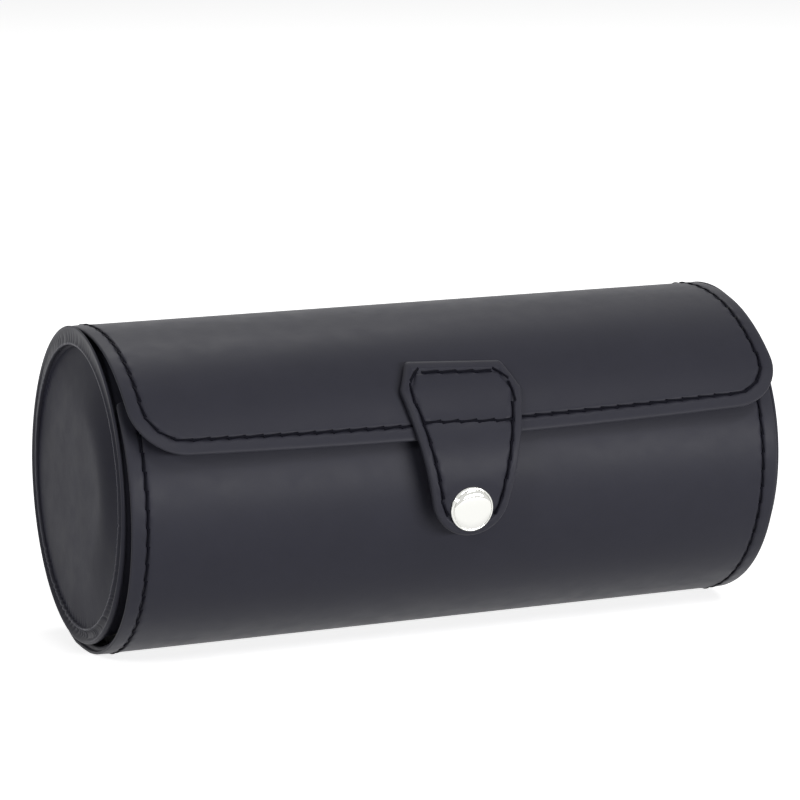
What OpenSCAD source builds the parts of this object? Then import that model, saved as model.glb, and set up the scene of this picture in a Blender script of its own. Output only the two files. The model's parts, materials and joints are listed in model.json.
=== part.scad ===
// Cylindrical travel case for three watches: a lined card drum with three cells, a leather wrap
// round its front, underside and back, and a flap that hinges at the back and closes over the
// mouth with a tab and a press stud. X runs along the drum, -Y is the front and Z is up. The
// origin is the middle of the flat that the case rests on. Angles round the drum start at the
// front at mid height and rise over the top, so 90 is the top and 180 the back.

/* [Drum] */
// Length of the case over its end lips
case_l = 187; // [140:1:260]
// Outer diameter of the end lips
lip_d = 84; // [76:0.5:96]
// Height of a lip above the outside of the tube
lip_h = 2.1; // [1.8:0.1:3]
// Width of a lip along the drum
lip_w = 1.2; // [0.8:0.1:2]
// Thickness of the card tube
tube_t = 1.8; // [1.2:0.1:3]
// Width of the tube left whole at each end of the mouth
band_w = 4.2; // [3:0.1:10]
// Angle of the front edge of the mouth
mouth_a = 40; // [34:1:55]
// Angle of the hinge line at the back
hinge_a = 150; // [130:1:165]

/* [Ends] */
// Thickness of the card disc that closes each end
end_board_t = 2.5; // [1.5:0.1:4]
// Thickness of the padded cover on the outside of an end
end_cover_t = 1.2; // [0.8:0.1:2]
// Depth of an end cover below its lip
end_recess = 0.9; // [0.3:0.1:2]
// Width of the gathered leather between a lip and its end cover
gather_w = 4.4; // [3:0.1:6]

/* [Lining and dividers] */
// Thickness of the velour lining
lining_t = 0.5; // [0.3:0.1:1]
// Thickness of the card in a divider
divider_board_t = 1.6; // [1:0.1:3]
// Thickness of the velour on each face of a divider
divider_cover_t = 0.8; // [0.4:0.1:1.5]

/* [Wrap] */
// How much larger the radius of the wrap's outside is than a lip's
wrap_over = 1.6; // [1.4:0.1:3]
// How far the wrap hangs below the drum's axis
wrap_drop = 1.5; // [1:0.1:2.5]
// How far each end of the drum stands out beyond the wrap
wrap_inset = 1.5; // [1.4:0.1:4]
// Thickness of the leather
leather_t = 1; // [0.8:0.1:1.4]
// Thickness of the card behind the leather
board_t = 0.7; // [0.4:0.1:1]
// Depth of the flat pressed into the underside
flat_depth = 0.5; // [0.3:0.05:0.6]

/* [Flap] */
// Distance from each end of the wrap to the flap's
flap_inset = 0.7; // [0.4:0.1:4]
// How much larger the radius of the flap's front is than the wrap's, so that it stands off
flap_spread = 6.4; // [5.6:0.1:10]
// Angle where the flap leaves the curve of the wrap
flap_leave_a = 100; // [90:1:110]
// Angle where the flap ends, on the curve of its front
edge_a = 27.8; // [24:0.2:32]
// Radius of the flap's two front corners
flap_corner_r = 14; // [6:0.5:20]
// Thickness of the flap's lining
flap_lining_t = 0.4; // [0.3:0.1:0.6]
// Margin of the flap and of the wrap that holds no card
board_margin = 6; // [4:0.5:10]

/* [Tab] */
// Thickness of the tab's front leather
tab_t = 1; // [0.8:0.1:1.4]
// Thickness of the tab's backing
tab_backing_t = 1; // [0.8:0.1:1.4]
// Width of the tab's top edge
tab_top_w = 26.6; // [20:0.2:32]
// Width of the tab at its shoulders
tab_wide_w = 34; // [26:0.5:44]
// Radius of the tab's round end
tab_end_r = 11; // [8:0.5:14]
// Height of the tab's shoulders above the snap
tab_shoulder_h = 30; // [24:0.5:34]
// Height of the tab's top edge above its shoulders
tab_top_h = 6.5; // [3:0.5:9]
// Margin of the tab below the snap's cap
tab_margin = 1.4; // [1:0.1:4]

/* [Press stud] */
// Diameter of the cap
cap_d = 12.5; // [10:0.5:15]
// Height of the cap's dome
cap_h = 2.2; // [1.5:0.1:3]
// Angle of the snap on the front of the wrap
snap_a = -2.5; // [-8:0.5:4]
// Distance from the wrap to the back of the tab at the snap
snap_gap = 3.8; // [3.4:0.1:5]
// Diameter of the stud's head
stud_d = 4.5; // [4:0.1:5]
// Height of the stud over its flange
stud_h = 2.15; // [1.8:0.05:2.4]
// Diameter of the stud's flange
stud_flange_d = 9.6; // [8:0.1:11]
// Diameter of the socket's plate
socket_d = 10.6; // [9:0.1:12]
// Diameter of the posts that rivet the snap's halves
post_d = 3; // [2.4:0.1:3.4]
// Thickness of the pressed metal
metal_t = 0.45; // [0.3:0.05:0.5]

/* [Pillows] */
// Width of a pillow from front to back
pillow_w = 52; // [40:1:54]
// Height of a pillow
pillow_h = 54; // [40:1:58]
// Gap between a pillow and the wall at each end of its cell
pillow_gap = 1.2; // [0.6:0.1:3]
// Radius of the soft edges at a pillow's ends
pillow_edge_r = 8; // [4:0.5:12]
// Thickness of a pillow's cover
pillow_cover_t = 1; // [0.6:0.1:2]

/* [Stitching] */
// Diameter of the thread
thread_d = 0.6; // [0.4:0.1:0.8]
// Distance from one stitch to the next
stitch_pitch = 4.8; // [3:0.1:7]
// Length of a stitch
stitch_l = 3.7; // [2:0.1:5]
// Distance of the flap's stitching from its edge
flap_seam = 4; // [3:0.1:6]
// Distance of the wrap's stitching from its edge
wrap_seam = 4.3; // [3:0.1:6]
// Distance of the tab's stitching from its edge
tab_seam = 2.6; // [2:0.1:4]
// Height of the tab's cross seam above the edge of the flap
cross_seam_h = 4.8; // [3:0.1:8]

/* [Hidden] */

navy = [0.14, 0.14, 0.17];
charcoal = [0.2, 0.2, 0.21];
velour = [0.3, 0.3, 0.32];
card = [0.62, 0.55, 0.44];
foam = [0.85, 0.84, 0.8];
metal = [0.82, 0.83, 0.85];
thread = [0.1, 0.1, 0.16];

$fn = 96;
glue = 0.05;          // gap between layers of one body
run = 0.3;            // gap between bodies that move
far = 2 * lip_d;      // reach of a cutting shape
curve_steps = 48;     // flats along a curve that changes its radius
layer_inset_a = 3;    // angle that the layers behind the leather stop short of its edges
thread_inset_a = 2;   // angle that a seam stops short of the fold at the hinge

// radii about the drum's axis
lip_r = lip_d / 2;
tube_r = lip_r - lip_h;
tube_in = tube_r - tube_t;
lining_in = tube_in - glue - lining_t;
end_r = tube_in - glue;
cover_r = lip_r - gather_w;

// places along the drum, from its middle to its left end
lip_x = case_l / 2;
wrap_x = lip_x - wrap_inset;
flap_x = wrap_x - flap_inset;
cover_x = lip_x - end_recess;
board_x = cover_x - end_cover_t - glue;
end_lining_x = board_x - end_board_t - glue;
cell_end_x = end_lining_x - lining_t;
tube_x = lip_x - lip_w - glue;
mouth_x = tube_x - band_w;
divider_t = divider_board_t + 2 * (divider_cover_t + glue);
cell_l = (2 * cell_end_x - 2 * divider_t) / 3;
divider_x = (cell_l + divider_t) / 2;
cell_pitch = cell_l + divider_t;

// the wrap's curve, in [y, z] about the drum's axis
wrap_r = lip_r + wrap_over;
wrap_c = [0, -wrap_drop];
axis_z = wrap_r + wrap_drop - flat_depth;

// the flap's curves: the back follows the wrap, the front is flatter and tangent to it
leave = [-cos(flap_leave_a), sin(flap_leave_a)];
flap_front_r = wrap_r + flap_spread;
front_c = wrap_c - flap_spread * leave;
flap_front_l = (flap_leave_a - edge_a) * PI / 180 * flap_front_r;
flap_t = leather_t + board_t + flap_lining_t + 2 * glue;

// the hinge line, on the outer surface of the wrap
hinge_r = -wrap_drop * sin(hinge_a) + sqrt(pow(wrap_r, 2) - pow(wrap_drop * cos(hinge_a), 2));
hinge_p = hinge_r * dir(hinge_a);
hinge_wrap_a = 180 - asin((hinge_p[1] - wrap_c[1]) / wrap_r);
flap_back_l = (hinge_wrap_a - flap_leave_a) * PI / 180 * wrap_r;

// the tab's curve: on the flap, then a bend, then straight past the snap
tab_full_t = tab_t + tab_backing_t + glue;
tab_foot = front_c + (flap_front_r + glue) * dir(edge_a);
snap_n = dir(snap_a);
bend_r = (wrap_r + snap_gap - (tab_foot - wrap_c) * snap_n) / (1 - dir(edge_a) * snap_n);
bend_c = tab_foot - bend_r * dir(edge_a);
snap_p = wrap_c + (wrap_r + snap_gap) * snap_n;
snap_z = snap_p[1];
tab_pivot = tab_foot + tab_full_t * dir(edge_a);
tab_end_z = snap_z - cap_d / 2 - tab_margin + tab_end_r;
shoulder_z = snap_z + tab_shoulder_h;
tab_top_z = shoulder_z + tab_top_h;

// heights over the wrap on the snap's own axis
tab_back_h = snap_gap;
tab_face_h = snap_gap + tab_full_t;
plate_h = tab_back_h - glue - metal_t;
mouth_h = 0.7;
post_clear = 0.1;
stud_clear = 0.2;
cavity_d = stud_d + 1.1;
spring_in = stud_d - 0.3;

// the pillow's centre, just clear of the lining
pillow_z = -lining_in + run + pillow_h / 2;

// the direction at an angle round the drum, in [y, z]
function dir(a) = [-cos(a), sin(a)];

// a point on a curve in [y, z], moved along the drum
function at(x, c, r, a) = [x, c[0] - r * cos(a), c[1] + r * sin(a)];

// a point on the flap's outside: s is the distance round the curve to the front of where it leaves
function flap_at(x, s, up) = s > 0
  ? at(x, front_c, flap_front_r + up, flap_leave_a - s / flap_front_r * 180 / PI)
  : at(x, wrap_c, wrap_r + up, flap_leave_a - s / wrap_r * 180 / PI);

// a point on the tab's outside: s is the distance round the curve below the flap's edge
bend_l = (edge_a - snap_a) * PI / 180 * (bend_r + tab_full_t);
function tab_at(x, s, up) =
  s < 0 ? at(x, front_c, flap_front_r + glue + tab_full_t + up,
    edge_a - s / (flap_front_r + tab_full_t) * 180 / PI)
  : s < bend_l ? at(x, bend_c, bend_r + tab_full_t + up,
    edge_a - s / (bend_r + tab_full_t) * 180 / PI)
  : at(x, bend_c, bend_r + tab_full_t + up, snap_a) - (s - bend_l) * [0, sin(snap_a), cos(snap_a)];

// how far round the tab a height lies, found from its two curves
function tab_s(z) = z > tab_pivot[1]
  ? -(asin((z - front_c[1]) / (flap_front_r + tab_full_t)) - edge_a) * PI / 180
    * (flap_front_r + tab_full_t)
  : z > bend_c[1] + (bend_r + tab_full_t) * sin(snap_a)
    ? (edge_a - asin((z - bend_c[1]) / (bend_r + tab_full_t))) * PI / 180 * (bend_r + tab_full_t)
    : bend_l + (bend_c[1] + (bend_r + tab_full_t) * sin(snap_a) - z) / cos(snap_a);

// lifts a shape drawn about the drum's axis to its height over the ground
module on_axis() { translate([0, 0, axis_z]) children(); }

// draws a [y, z] shape and runs it along the drum from x0 to x1
module along(x0, x1) {
  translate([x0, 0, 0]) rotate([90, 0, 90]) linear_extrude(x1 - x0) children();
}

// turns an [x, r] outline about the drum's axis
module turned() { rotate([0, 90, 0]) rotate_extrude() rotate(90) children(); }

// a sector of the [y, z] plane between two angles about a centre
module sector(a0, a1, c = [0, 0]) {
  steps = ceil((a1 - a0) / 30);
  translate(c) polygon(concat([[0, 0]],
    [for (i = [0 : steps]) far * dir(a0 + (a1 - a0) * i / steps)]));
}

// a disc in the [y, z] plane
module disc(c, r) { translate(c) circle(r, $fn = 180); }

// a curved sheet between two radii
module sheet(c, r0, r1) {
  difference() { disc(c, r1); disc(c, r0); }
}

// the strip between two rows of points along a curve
module ribbon(outer, inner) {
  n = len(outer) - 1;
  polygon(concat([for (i = [0 : n]) [outer[i][1], outer[i][2]]],
    [for (i = [n : -1 : 0]) [inner[i][1], inner[i][2]]]));
}

// a short round bar between two points
module bar(p, q, d) {
  v = q - p;
  translate(p) rotate([0, acos(v[2] / norm(v)), atan2(v[1], v[0])])
    cylinder(d = d, h = norm(v), $fn = 16);
}

// the seams lie just over the leather
seam_up = thread_d / 2 + glue;

// --- drum -------------------------------------------------------------------------------------

module drum_tube() {
  color(card) on_axis() difference() {
    along(-tube_x, tube_x) sheet([0, 0], tube_in, tube_r);
    along(-mouth_x, mouth_x) sector(mouth_a, hinge_a);
  }
}

module trough_lining() {
  color(velour) on_axis() along(-cell_end_x, cell_end_x) intersection() {
    sheet([0, 0], lining_in, tube_in - glue);
    sector(hinge_a - 360, mouth_a);
  }
}

// the leather turned over the end of the tube: a rounded lip, then a gather that dips to the cover
module rim_band() {
  round_r = lip_w / 2;
  lip_in = tube_r + round_r;
  color(navy) on_axis() turned() {
    translate([lip_x - lip_w, cover_r + glue]) square([lip_w - round_r, gather_w - glue]);
    translate([lip_x - round_r, lip_in]) square([round_r, lip_r - round_r - lip_in]);
    translate([lip_x - round_r, lip_r - round_r]) circle(round_r, $fn = 48);
    translate([lip_x - round_r, lip_in]) circle(round_r, $fn = 48);
    translate([board_x + glue, cover_r + glue])
      square([lip_x - lip_w - board_x, end_r - cover_r - glue]);
  }
}

module end_board() {
  color(card) on_axis() along(board_x - end_board_t, board_x) disc([0, 0], end_r);
}

module end_cover() {
  soft = end_cover_t / 3;
  color(navy) on_axis() turned() polygon([[board_x + glue, 0], [board_x + glue, cover_r],
    [cover_x - soft, cover_r], [cover_x, cover_r - soft], [cover_x, 0]]);
}

module end_lining() {
  color(velour) on_axis() along(end_lining_x - lining_t, end_lining_x) disc([0, 0], end_r);
}

module divider_board() {
  color(card) on_axis() along(divider_x - divider_board_t / 2, divider_x + divider_board_t / 2)
    disc([0, 0], lining_in - glue - divider_cover_t - glue);
}

module divider_cover() {
  hollow_t = divider_board_t / 2 + glue;
  color(velour) on_axis() difference() {
    along(divider_x - divider_t / 2, divider_x + divider_t / 2) disc([0, 0], lining_in - glue);
    along(divider_x - hollow_t, divider_x + hollow_t)
      disc([0, 0], lining_in - glue - divider_cover_t);
  }
}

// --- wrap -------------------------------------------------------------------------------------

// a bore on the snap's axis, through the wrap or the tab
module snap_bore(d) {
  on_snap() translate([0, 0, -wrap_r / 4]) cylinder(d = d, h = wrap_r / 2);
}

// places a shape on the snap's axis, its height measured out from the wrap
module on_snap() {
  p = wrap_c + wrap_r * snap_n;
  on_axis() translate([0, p[0], p[1]]) rotate([90 - snap_a, 0, 0]) children();
}

module wrap_padding() {
  half_x = wrap_x - board_margin;
  color(foam) difference() {
    on_axis() along(-half_x, half_x) intersection() {
      difference() {
        disc(wrap_c, wrap_r - leather_t - board_t - 2 * glue);
        disc([0, 0], tube_r + glue);
      }
      sector(hinge_a - 360 + layer_inset_a, mouth_a - layer_inset_a);
    }
    snap_bore(stud_flange_d);
  }
}

module wrap_board() {
  half_x = wrap_x - board_margin;
  color(card) difference() {
    on_axis() along(-half_x, half_x) intersection() {
      sheet(wrap_c, wrap_r - leather_t - board_t - glue, wrap_r - leather_t - glue);
      sector(hinge_a - 360 + layer_inset_a, mouth_a - layer_inset_a);
    }
    snap_bore(post_d + 2 * post_clear);
  }
}

module wrap_leather() {
  color(navy) difference() {
    on_axis() along(-wrap_x, wrap_x) intersection() {
      sheet(wrap_c, wrap_r - leather_t, wrap_r);
      sector(hinge_a - 360, mouth_a);
    }
    translate([-case_l, -far, -far]) cube([2 * case_l, 2 * far, far]);
    snap_bore(post_d + 2 * post_clear);
  }
}

// the two seams round the wrap's ends; the flat underneath is left clear of thread
module wrap_thread() {
  x = wrap_x - wrap_seam;
  r = wrap_r + seam_up;
  step = stitch_pitch / r * 180 / PI;
  long = stitch_l / r * 180 / PI;
  clear_a = acos((axis_z - wrap_drop) / (r + thread_d)) + long;
  color(thread) on_axis() for (side = [-1, 1], i = [1 : floor((mouth_a + 360 - hinge_a) / step)]) {
    a = mouth_a - i * step;
    if (abs(a - long / 2 + 90) > clear_a && a - long > hinge_a - 360 + thread_inset_a)
      bar(at(side * x, wrap_c, r, a), at(side * x, wrap_c, r, a - long), thread_d);
  }
}

// --- press stud -------------------------------------------------------------------------------

module stud() {
  neck_d = stud_d - 0.8;
  head_h = stud_h / 2;
  color(metal) on_snap() translate([0, 0, glue]) difference() {
    union() {
      cylinder(d = stud_flange_d, h = metal_t);
      cylinder(d = neck_d, h = metal_t + stud_h - head_h);
      translate([0, 0, metal_t + stud_h - head_h]) cylinder(d = stud_d, h = head_h / 2);
      translate([0, 0, metal_t + stud_h - head_h / 2])
        cylinder(d1 = stud_d, d2 = neck_d - 0.6, h = head_h / 2);
    }
    translate([0, 0, -1]) cylinder(d = post_d - 0.9, h = metal_t + stud_h / 2 + 1);
  }
}

// the rivet that holds the stud, its flange behind the board, which curves away from it
module stud_rivet() {
  flange_r = stud_flange_d / 2 - run;
  board_in = wrap_r - leather_t - board_t - glue;
  depth = wrap_r - sqrt(pow(board_in, 2) - pow(flange_r, 2)) + glue;
  color(metal) on_snap() {
    translate([0, 0, -depth - metal_t]) cylinder(r = flange_r, h = metal_t);
    translate([0, 0, -depth]) cylinder(d = post_d, h = depth);
    cylinder(d = post_d - 1.1, h = metal_t + stud_h / 2 - glue);
  }
}

// the cap with its post, which goes through the tab and is spread inside the socket
module snap_cap() {
  rim_h = 0.5;
  dome_h = cap_h - rim_h;
  dome_r = (pow(cap_d / 2, 2) + pow(dome_h, 2)) / (2 * dome_h);
  base = tab_face_h + glue;
  spread_h = 0.3;
  color(metal) on_snap() {
    translate([0, 0, base]) cylinder(d = cap_d, h = rim_h);
    translate([0, 0, base + rim_h]) intersection() {
      translate([0, 0, dome_h - dome_r]) sphere(dome_r);
      cylinder(d = cap_d, h = dome_h + 1);
    }
    translate([0, 0, plate_h - glue]) cylinder(d = post_d, h = base - plate_h + glue);
    translate([0, 0, plate_h - glue - spread_h]) cylinder(d = post_d + 1.4, h = spread_h);
  }
}

module snap_socket() {
  color(metal) on_snap() difference() {
    union() {
      translate([0, 0, plate_h]) cylinder(d = socket_d, h = metal_t);
      translate([0, 0, mouth_h]) cylinder(d = cavity_d + 2 * metal_t, h = plate_h - mouth_h);
    }
    translate([0, 0, mouth_h + metal_t]) cylinder(d = cavity_d, h = plate_h - mouth_h - metal_t);
    translate([0, 0, mouth_h - 1]) cylinder(d = stud_d + 2 * stud_clear, h = 2);
    translate([0, 0, plate_h - 1]) cylinder(d = post_d + 2 * post_clear, h = 2);
  }
}

// the ring spring inside the socket's mouth
module snap_spring() {
  wire_d = 0.3;
  opening = 50;
  color(metal) on_snap() translate([0, 0, mouth_h + metal_t + glue + wire_d / 2])
    rotate(opening / 2 + 90) rotate_extrude(angle = 360 - opening)
      translate([(spring_in + wire_d) / 2, 0]) circle(d = wire_d, $fn = 16);
}

// --- flap -------------------------------------------------------------------------------------

// the flap's [y, z] outline between two depths below its outside, ending a margin short of its edges
module flap_outline(d0, d1, edge_gap, hinge_gap) {
  from = hinge_gap - flap_back_l;
  to = flap_front_l - edge_gap;
  ribbon([for (s = [from : (to - from) / curve_steps : to + 0.001]) flap_at(0, s, -d0)],
    [for (s = [from : (to - from) / curve_steps : to + 0.001]) flap_at(0, s, -d1)]);
}

// takes the two front corners off, seen from the front
module flap_corners(half_x, gap) {
  r = flap_corner_r - gap;
  edge_z = flap_at(0, flap_front_l - gap, 0)[2];
  for (side = [-1, 1]) on_axis() rotate([90, 0, 0])
    linear_extrude(far) difference() {
      translate([side > 0 ? half_x - r : -half_x - r, edge_z - 2 * r]) square([2 * r, 3 * r]);
      translate([side * (half_x - r), edge_z + r]) circle(r);
    }
}

module flap_sheet(d0, d1, gap, hinge_gap) {
  half_x = flap_x - gap;
  difference() {
    on_axis() along(-half_x, half_x) flap_outline(d0, d1, gap, hinge_gap);
    flap_corners(half_x, gap);
  }
}

module flap_leather() { color(navy) flap_sheet(0, leather_t, 0, run); }

module flap_board() {
  depth = leather_t + glue;
  color(card) flap_sheet(depth, depth + board_t, board_margin, board_margin);
}

module flap_lining() {
  color(velour) flap_sheet(flap_t - flap_lining_t, flap_t, glue, run);
}

// one side of the flap's seam in [x, s]: down the side, round the corner and along the front
seam_side_l = flap_front_l - flap_corner_r + flap_back_l - flap_seam;
seam_corner_r = flap_corner_r - flap_seam;
seam_corner_l = seam_corner_r * PI / 2;
seam_front_l = flap_x - flap_corner_r - tab_wide_w / 2;
function flap_seam_at(t) =
  t < seam_side_l ? [flap_x - flap_seam, flap_front_l - flap_corner_r - seam_side_l + t]
  : t < seam_side_l + seam_corner_l ?
    let (a = (t - seam_side_l) / seam_corner_r * 180 / PI)
      [flap_x - flap_corner_r + seam_corner_r * cos(a),
       flap_front_l - flap_corner_r + seam_corner_r * sin(a)]
  : [flap_x - flap_corner_r - (t - seam_side_l - seam_corner_l), flap_front_l - flap_seam];

module flap_thread() {
  count = floor((seam_side_l + seam_corner_l + seam_front_l) / stitch_pitch);
  color(thread) on_axis() for (side = [-1, 1], i = [0 : count - 1]) {
    p = flap_seam_at(i * stitch_pitch);
    q = flap_seam_at(i * stitch_pitch + stitch_l);
    bar(flap_at(side * p[0], p[1], seam_up), flap_at(side * q[0], q[1], seam_up), thread_d);
  }
}

// --- tab --------------------------------------------------------------------------------------

// the tab's outline seen from the front: a round end, flaring sides and a top with cut corners
module tab_shape(gap) {
  r = tab_end_r - gap;
  wide = [tab_wide_w / 2 - gap, shoulder_z - tab_end_z];
  side_a = atan2(wide[1], wide[0]) - acos(r / norm(wide));
  touch = r * [cos(side_a), sin(side_a)];
  translate([0, tab_end_z]) {
    circle(r);
    polygon([touch, wide, [tab_top_w / 2 - gap, tab_top_z - tab_end_z - gap],
      [-tab_top_w / 2 + gap, tab_top_z - tab_end_z - gap], [-wide[0], wide[1]],
      [-touch[0], touch[1]]]);
  }
}

// cuts a sheet to the tab's outline
module tab_cut() {
  intersection() {
    children();
    on_axis() rotate([90, 0, 0]) linear_extrude(far) tab_shape(0);
  }
}

// the sewn part of the tab, between two heights over the flap
module tab_root_sheet(h0, h1) {
  tab_cut() on_axis() along(-tab_wide_w, tab_wide_w) intersection() {
    sheet(front_c, flap_front_r + glue + h0, flap_front_r + glue + h1);
    sector(edge_a, flap_leave_a, front_c);
  }
}

module tab_root() { color(navy) tab_root_sheet(tab_backing_t + glue, tab_full_t); }

module tab_root_backing() { color(charcoal) tab_root_sheet(0, tab_backing_t); }

// the free part of the tab, between two heights over its back
module tab_free_sheet(h0, h1) {
  to = bend_l + tab_wide_w;
  stops = concat([for (i = [0 : curve_steps]) run + (bend_l - run) * i / curve_steps], [to]);
  difference() {
    tab_cut() on_axis() along(-tab_wide_w, tab_wide_w)
      ribbon([for (s = stops) tab_at(0, s, h1 - tab_full_t)],
        [for (s = stops) tab_at(0, s, h0 - tab_full_t)]);
    snap_bore(post_d + 2 * post_clear);
  }
}

module tab_leather() { color(navy) tab_free_sheet(tab_backing_t + glue, tab_full_t); }

module tab_backing() { color(charcoal) tab_free_sheet(0, tab_backing_t); }

// one side of the tab's seam, from its middle top to its round end
seam_top = [tab_top_w / 2 - tab_seam, tab_top_z - tab_seam];
seam_shoulder = [tab_wide_w / 2 - tab_seam * 1.1, shoulder_z - 0.3];
seam_end_r = tab_end_r - tab_seam;
seam_low = [seam_end_r + 0.6, snap_z + cap_d / 2];
function mix(p, q, t) = p + (q - p) * t;

// stitches along a straight run of the tab's seam, mirrored to the other side
module tab_row(p, q) {
  count = max(1, round(norm(q - p) / stitch_pitch));
  part = stitch_l / stitch_pitch;
  for (side = [-1, 1], i = [0 : count - 1]) {
    a = mix(p, q, (i + (1 - part) / 2) / count);
    b = mix(p, q, (i + (1 + part) / 2) / count);
    bar(tab_at(side * a[0], tab_s(a[1]), seam_up), tab_at(side * b[0], tab_s(b[1]), seam_up),
      thread_d);
  }
}

cross_z = tab_pivot[1] + cross_seam_h;
function seam_x(z) = mix(seam_low, seam_shoulder,
  (z - seam_low[1]) / (seam_shoulder[1] - seam_low[1]))[0];

module tab_root_thread() {
  color(thread) on_axis() {
    tab_row([0, seam_top[1]], seam_top);
    tab_row(seam_top, seam_shoulder);
    tab_row(seam_shoulder, [seam_x(tab_pivot[1] + 1), tab_pivot[1] + 1]);
    tab_row([0, cross_z], [seam_x(cross_z) - stitch_pitch / 4, cross_z]);
  }
}

module tab_thread() {
  z = tab_pivot[1] - 1.2;
  color(thread) on_axis() tab_row([seam_x(z), z], seam_low);
}

// --- pillows ----------------------------------------------------------------------------------

// a soft oval block, smaller at its two ends
module pillow_block(shrink) {
  long = cell_l - 2 * pillow_gap - 2 * shrink;
  edge = pillow_edge_r;
  shoulder = edge / 5;
  hull() for (e = [[long, edge], [long - edge, shoulder], [long - 2 * edge, 0]])
    translate([-e[0] / 2, 0, 0]) rotate([90, 0, 90]) linear_extrude(e[0])
      scale([pillow_w / 2 - shrink - e[1], pillow_h / 2 - shrink - e[1]]) circle(1, $fn = 48);
}

module pillow_at(i) {
  on_axis() translate([i * cell_pitch, 0, pillow_z]) children();
}

module pillow_cover(i) {
  color(velour) pillow_at(i) difference() {
    pillow_block(0);
    pillow_block(pillow_cover_t);
  }
}

module pillow_foam(i) { color(foam) pillow_at(i) pillow_block(pillow_cover_t + glue); }

module left() { mirror([1, 0, 0]) children(); }

drum_tube();
trough_lining();
left() rim_band();  // left_rim_band
rim_band();  // right_rim_band
left() end_board();  // left_end_board
end_board();  // right_end_board
left() end_cover();  // left_end_cover
end_cover();  // right_end_cover
left() end_lining();  // left_end_lining
end_lining();  // right_end_lining
left() divider_board();  // left_divider_board
divider_board();  // right_divider_board
left() divider_cover();  // left_divider_cover
divider_cover();  // right_divider_cover
wrap_padding();
wrap_board();
wrap_leather();
wrap_thread();
stud();
stud_rivet();
flap_leather();
flap_board();
flap_lining();
flap_thread();
tab_root();
tab_root_backing();
tab_root_thread();
tab_leather();
tab_backing();
tab_thread();
snap_cap();
snap_socket();
snap_spring();
pillow_cover(-1);  // left_pillow_cover
pillow_foam(-1);  // left_pillow_foam
pillow_cover(0);  // middle_pillow_cover
pillow_foam(0);  // middle_pillow_foam
pillow_cover(1);  // right_pillow_cover
pillow_foam(1);  // right_pillow_foam
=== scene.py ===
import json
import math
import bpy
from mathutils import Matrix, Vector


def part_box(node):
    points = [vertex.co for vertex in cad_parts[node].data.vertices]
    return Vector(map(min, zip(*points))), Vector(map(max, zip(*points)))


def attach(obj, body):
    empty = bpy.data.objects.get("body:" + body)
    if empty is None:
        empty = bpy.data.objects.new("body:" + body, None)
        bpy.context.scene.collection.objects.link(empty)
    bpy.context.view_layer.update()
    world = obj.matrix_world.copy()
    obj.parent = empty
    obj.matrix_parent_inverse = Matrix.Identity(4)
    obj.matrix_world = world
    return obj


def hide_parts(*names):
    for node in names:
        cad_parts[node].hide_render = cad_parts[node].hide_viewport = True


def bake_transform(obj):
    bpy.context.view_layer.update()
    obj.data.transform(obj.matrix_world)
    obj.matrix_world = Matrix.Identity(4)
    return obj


bl_info = {
    "name": "Watch travel case",
    "version": (1, 0, 0),
    "blender": (4, 5, 0),
    "location": "3D View > Sidebar > Watch Case",
    "description": "Covers the boards of a watch travel case in leather, velour and metal",
    "category": "Object",
}

import bmesh
import bpy
from bpy.props import FloatProperty, FloatVectorProperty, IntProperty, PointerProperty
from mathutils import Matrix, Vector, noise

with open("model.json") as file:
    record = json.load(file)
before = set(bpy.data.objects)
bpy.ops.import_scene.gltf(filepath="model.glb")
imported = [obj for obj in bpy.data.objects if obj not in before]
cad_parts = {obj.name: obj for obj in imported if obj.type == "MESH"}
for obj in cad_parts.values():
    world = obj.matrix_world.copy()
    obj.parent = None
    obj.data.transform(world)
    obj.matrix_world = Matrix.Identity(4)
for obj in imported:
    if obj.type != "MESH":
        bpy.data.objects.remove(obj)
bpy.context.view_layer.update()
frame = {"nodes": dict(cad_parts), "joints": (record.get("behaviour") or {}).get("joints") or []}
MM = 0.001

# The places that the leather is fitted to, read from the boards and the metal.
# Everything is in metres; X runs along the drum and -Y is the front.


def middle_and_half(node):
    """A node's middle and half its size."""
    low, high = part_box(node)
    return (low + high) / 2, (high - low) / 2


def joint_at(name):
    return Vector(next(joint["pos_m"] for joint in frame["joints"] if joint["name"] == name))


AXIS_Z = middle_and_half("left_end_board")[0].z
LIP_X = -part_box("left_rim_band")[0].x
COVER_X = -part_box("left_end_cover")[0].x
COVER_R = middle_and_half("left_end_cover")[1].z
CELL_X = -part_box("left_end_lining")[1].x
TUBE_X, _, TUBE_R = middle_and_half("drum_tube")[1]
WRAP_X, WRAP_R, _ = middle_and_half("wrap_leather")[1]
FLAP_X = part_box("flap_leather")[1].x
LINING_R = middle_and_half("trough_lining")[1].y
HINGE, PIVOT = joint_at("flap_hinge"), joint_at("tab_bend")
# how high the stitches lie over the bottom of their groove
STITCH_LIFT = 0.1 * MM


def from_hex(code):
    """The linear colour of an sRGB hex value."""
    parts = [int(code[i : i + 2], 16) / 255 for i in (1, 3, 5)]
    return [c / 12.92 if c <= 0.04045 else ((c + 0.055) / 1.055) ** 2.4 for c in parts]


# --- sizes and colours ------------------------------------------------------------------------


def length(name, description, value):
    return FloatProperty(
        name=name, description=description, default=value * MM, unit="LENGTH", precision=5
    )


def degrees(name, description, value):
    return FloatProperty(
        name=name, description=description, default=math.radians(value), unit="ROTATION"
    )


def colour(name, description, code):
    return FloatVectorProperty(
        name=name, description=description, default=from_hex(code), subtype="COLOR", min=0, max=1
    )


def number(name, description, value):
    return FloatProperty(name=name, description=description, default=value)


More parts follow.
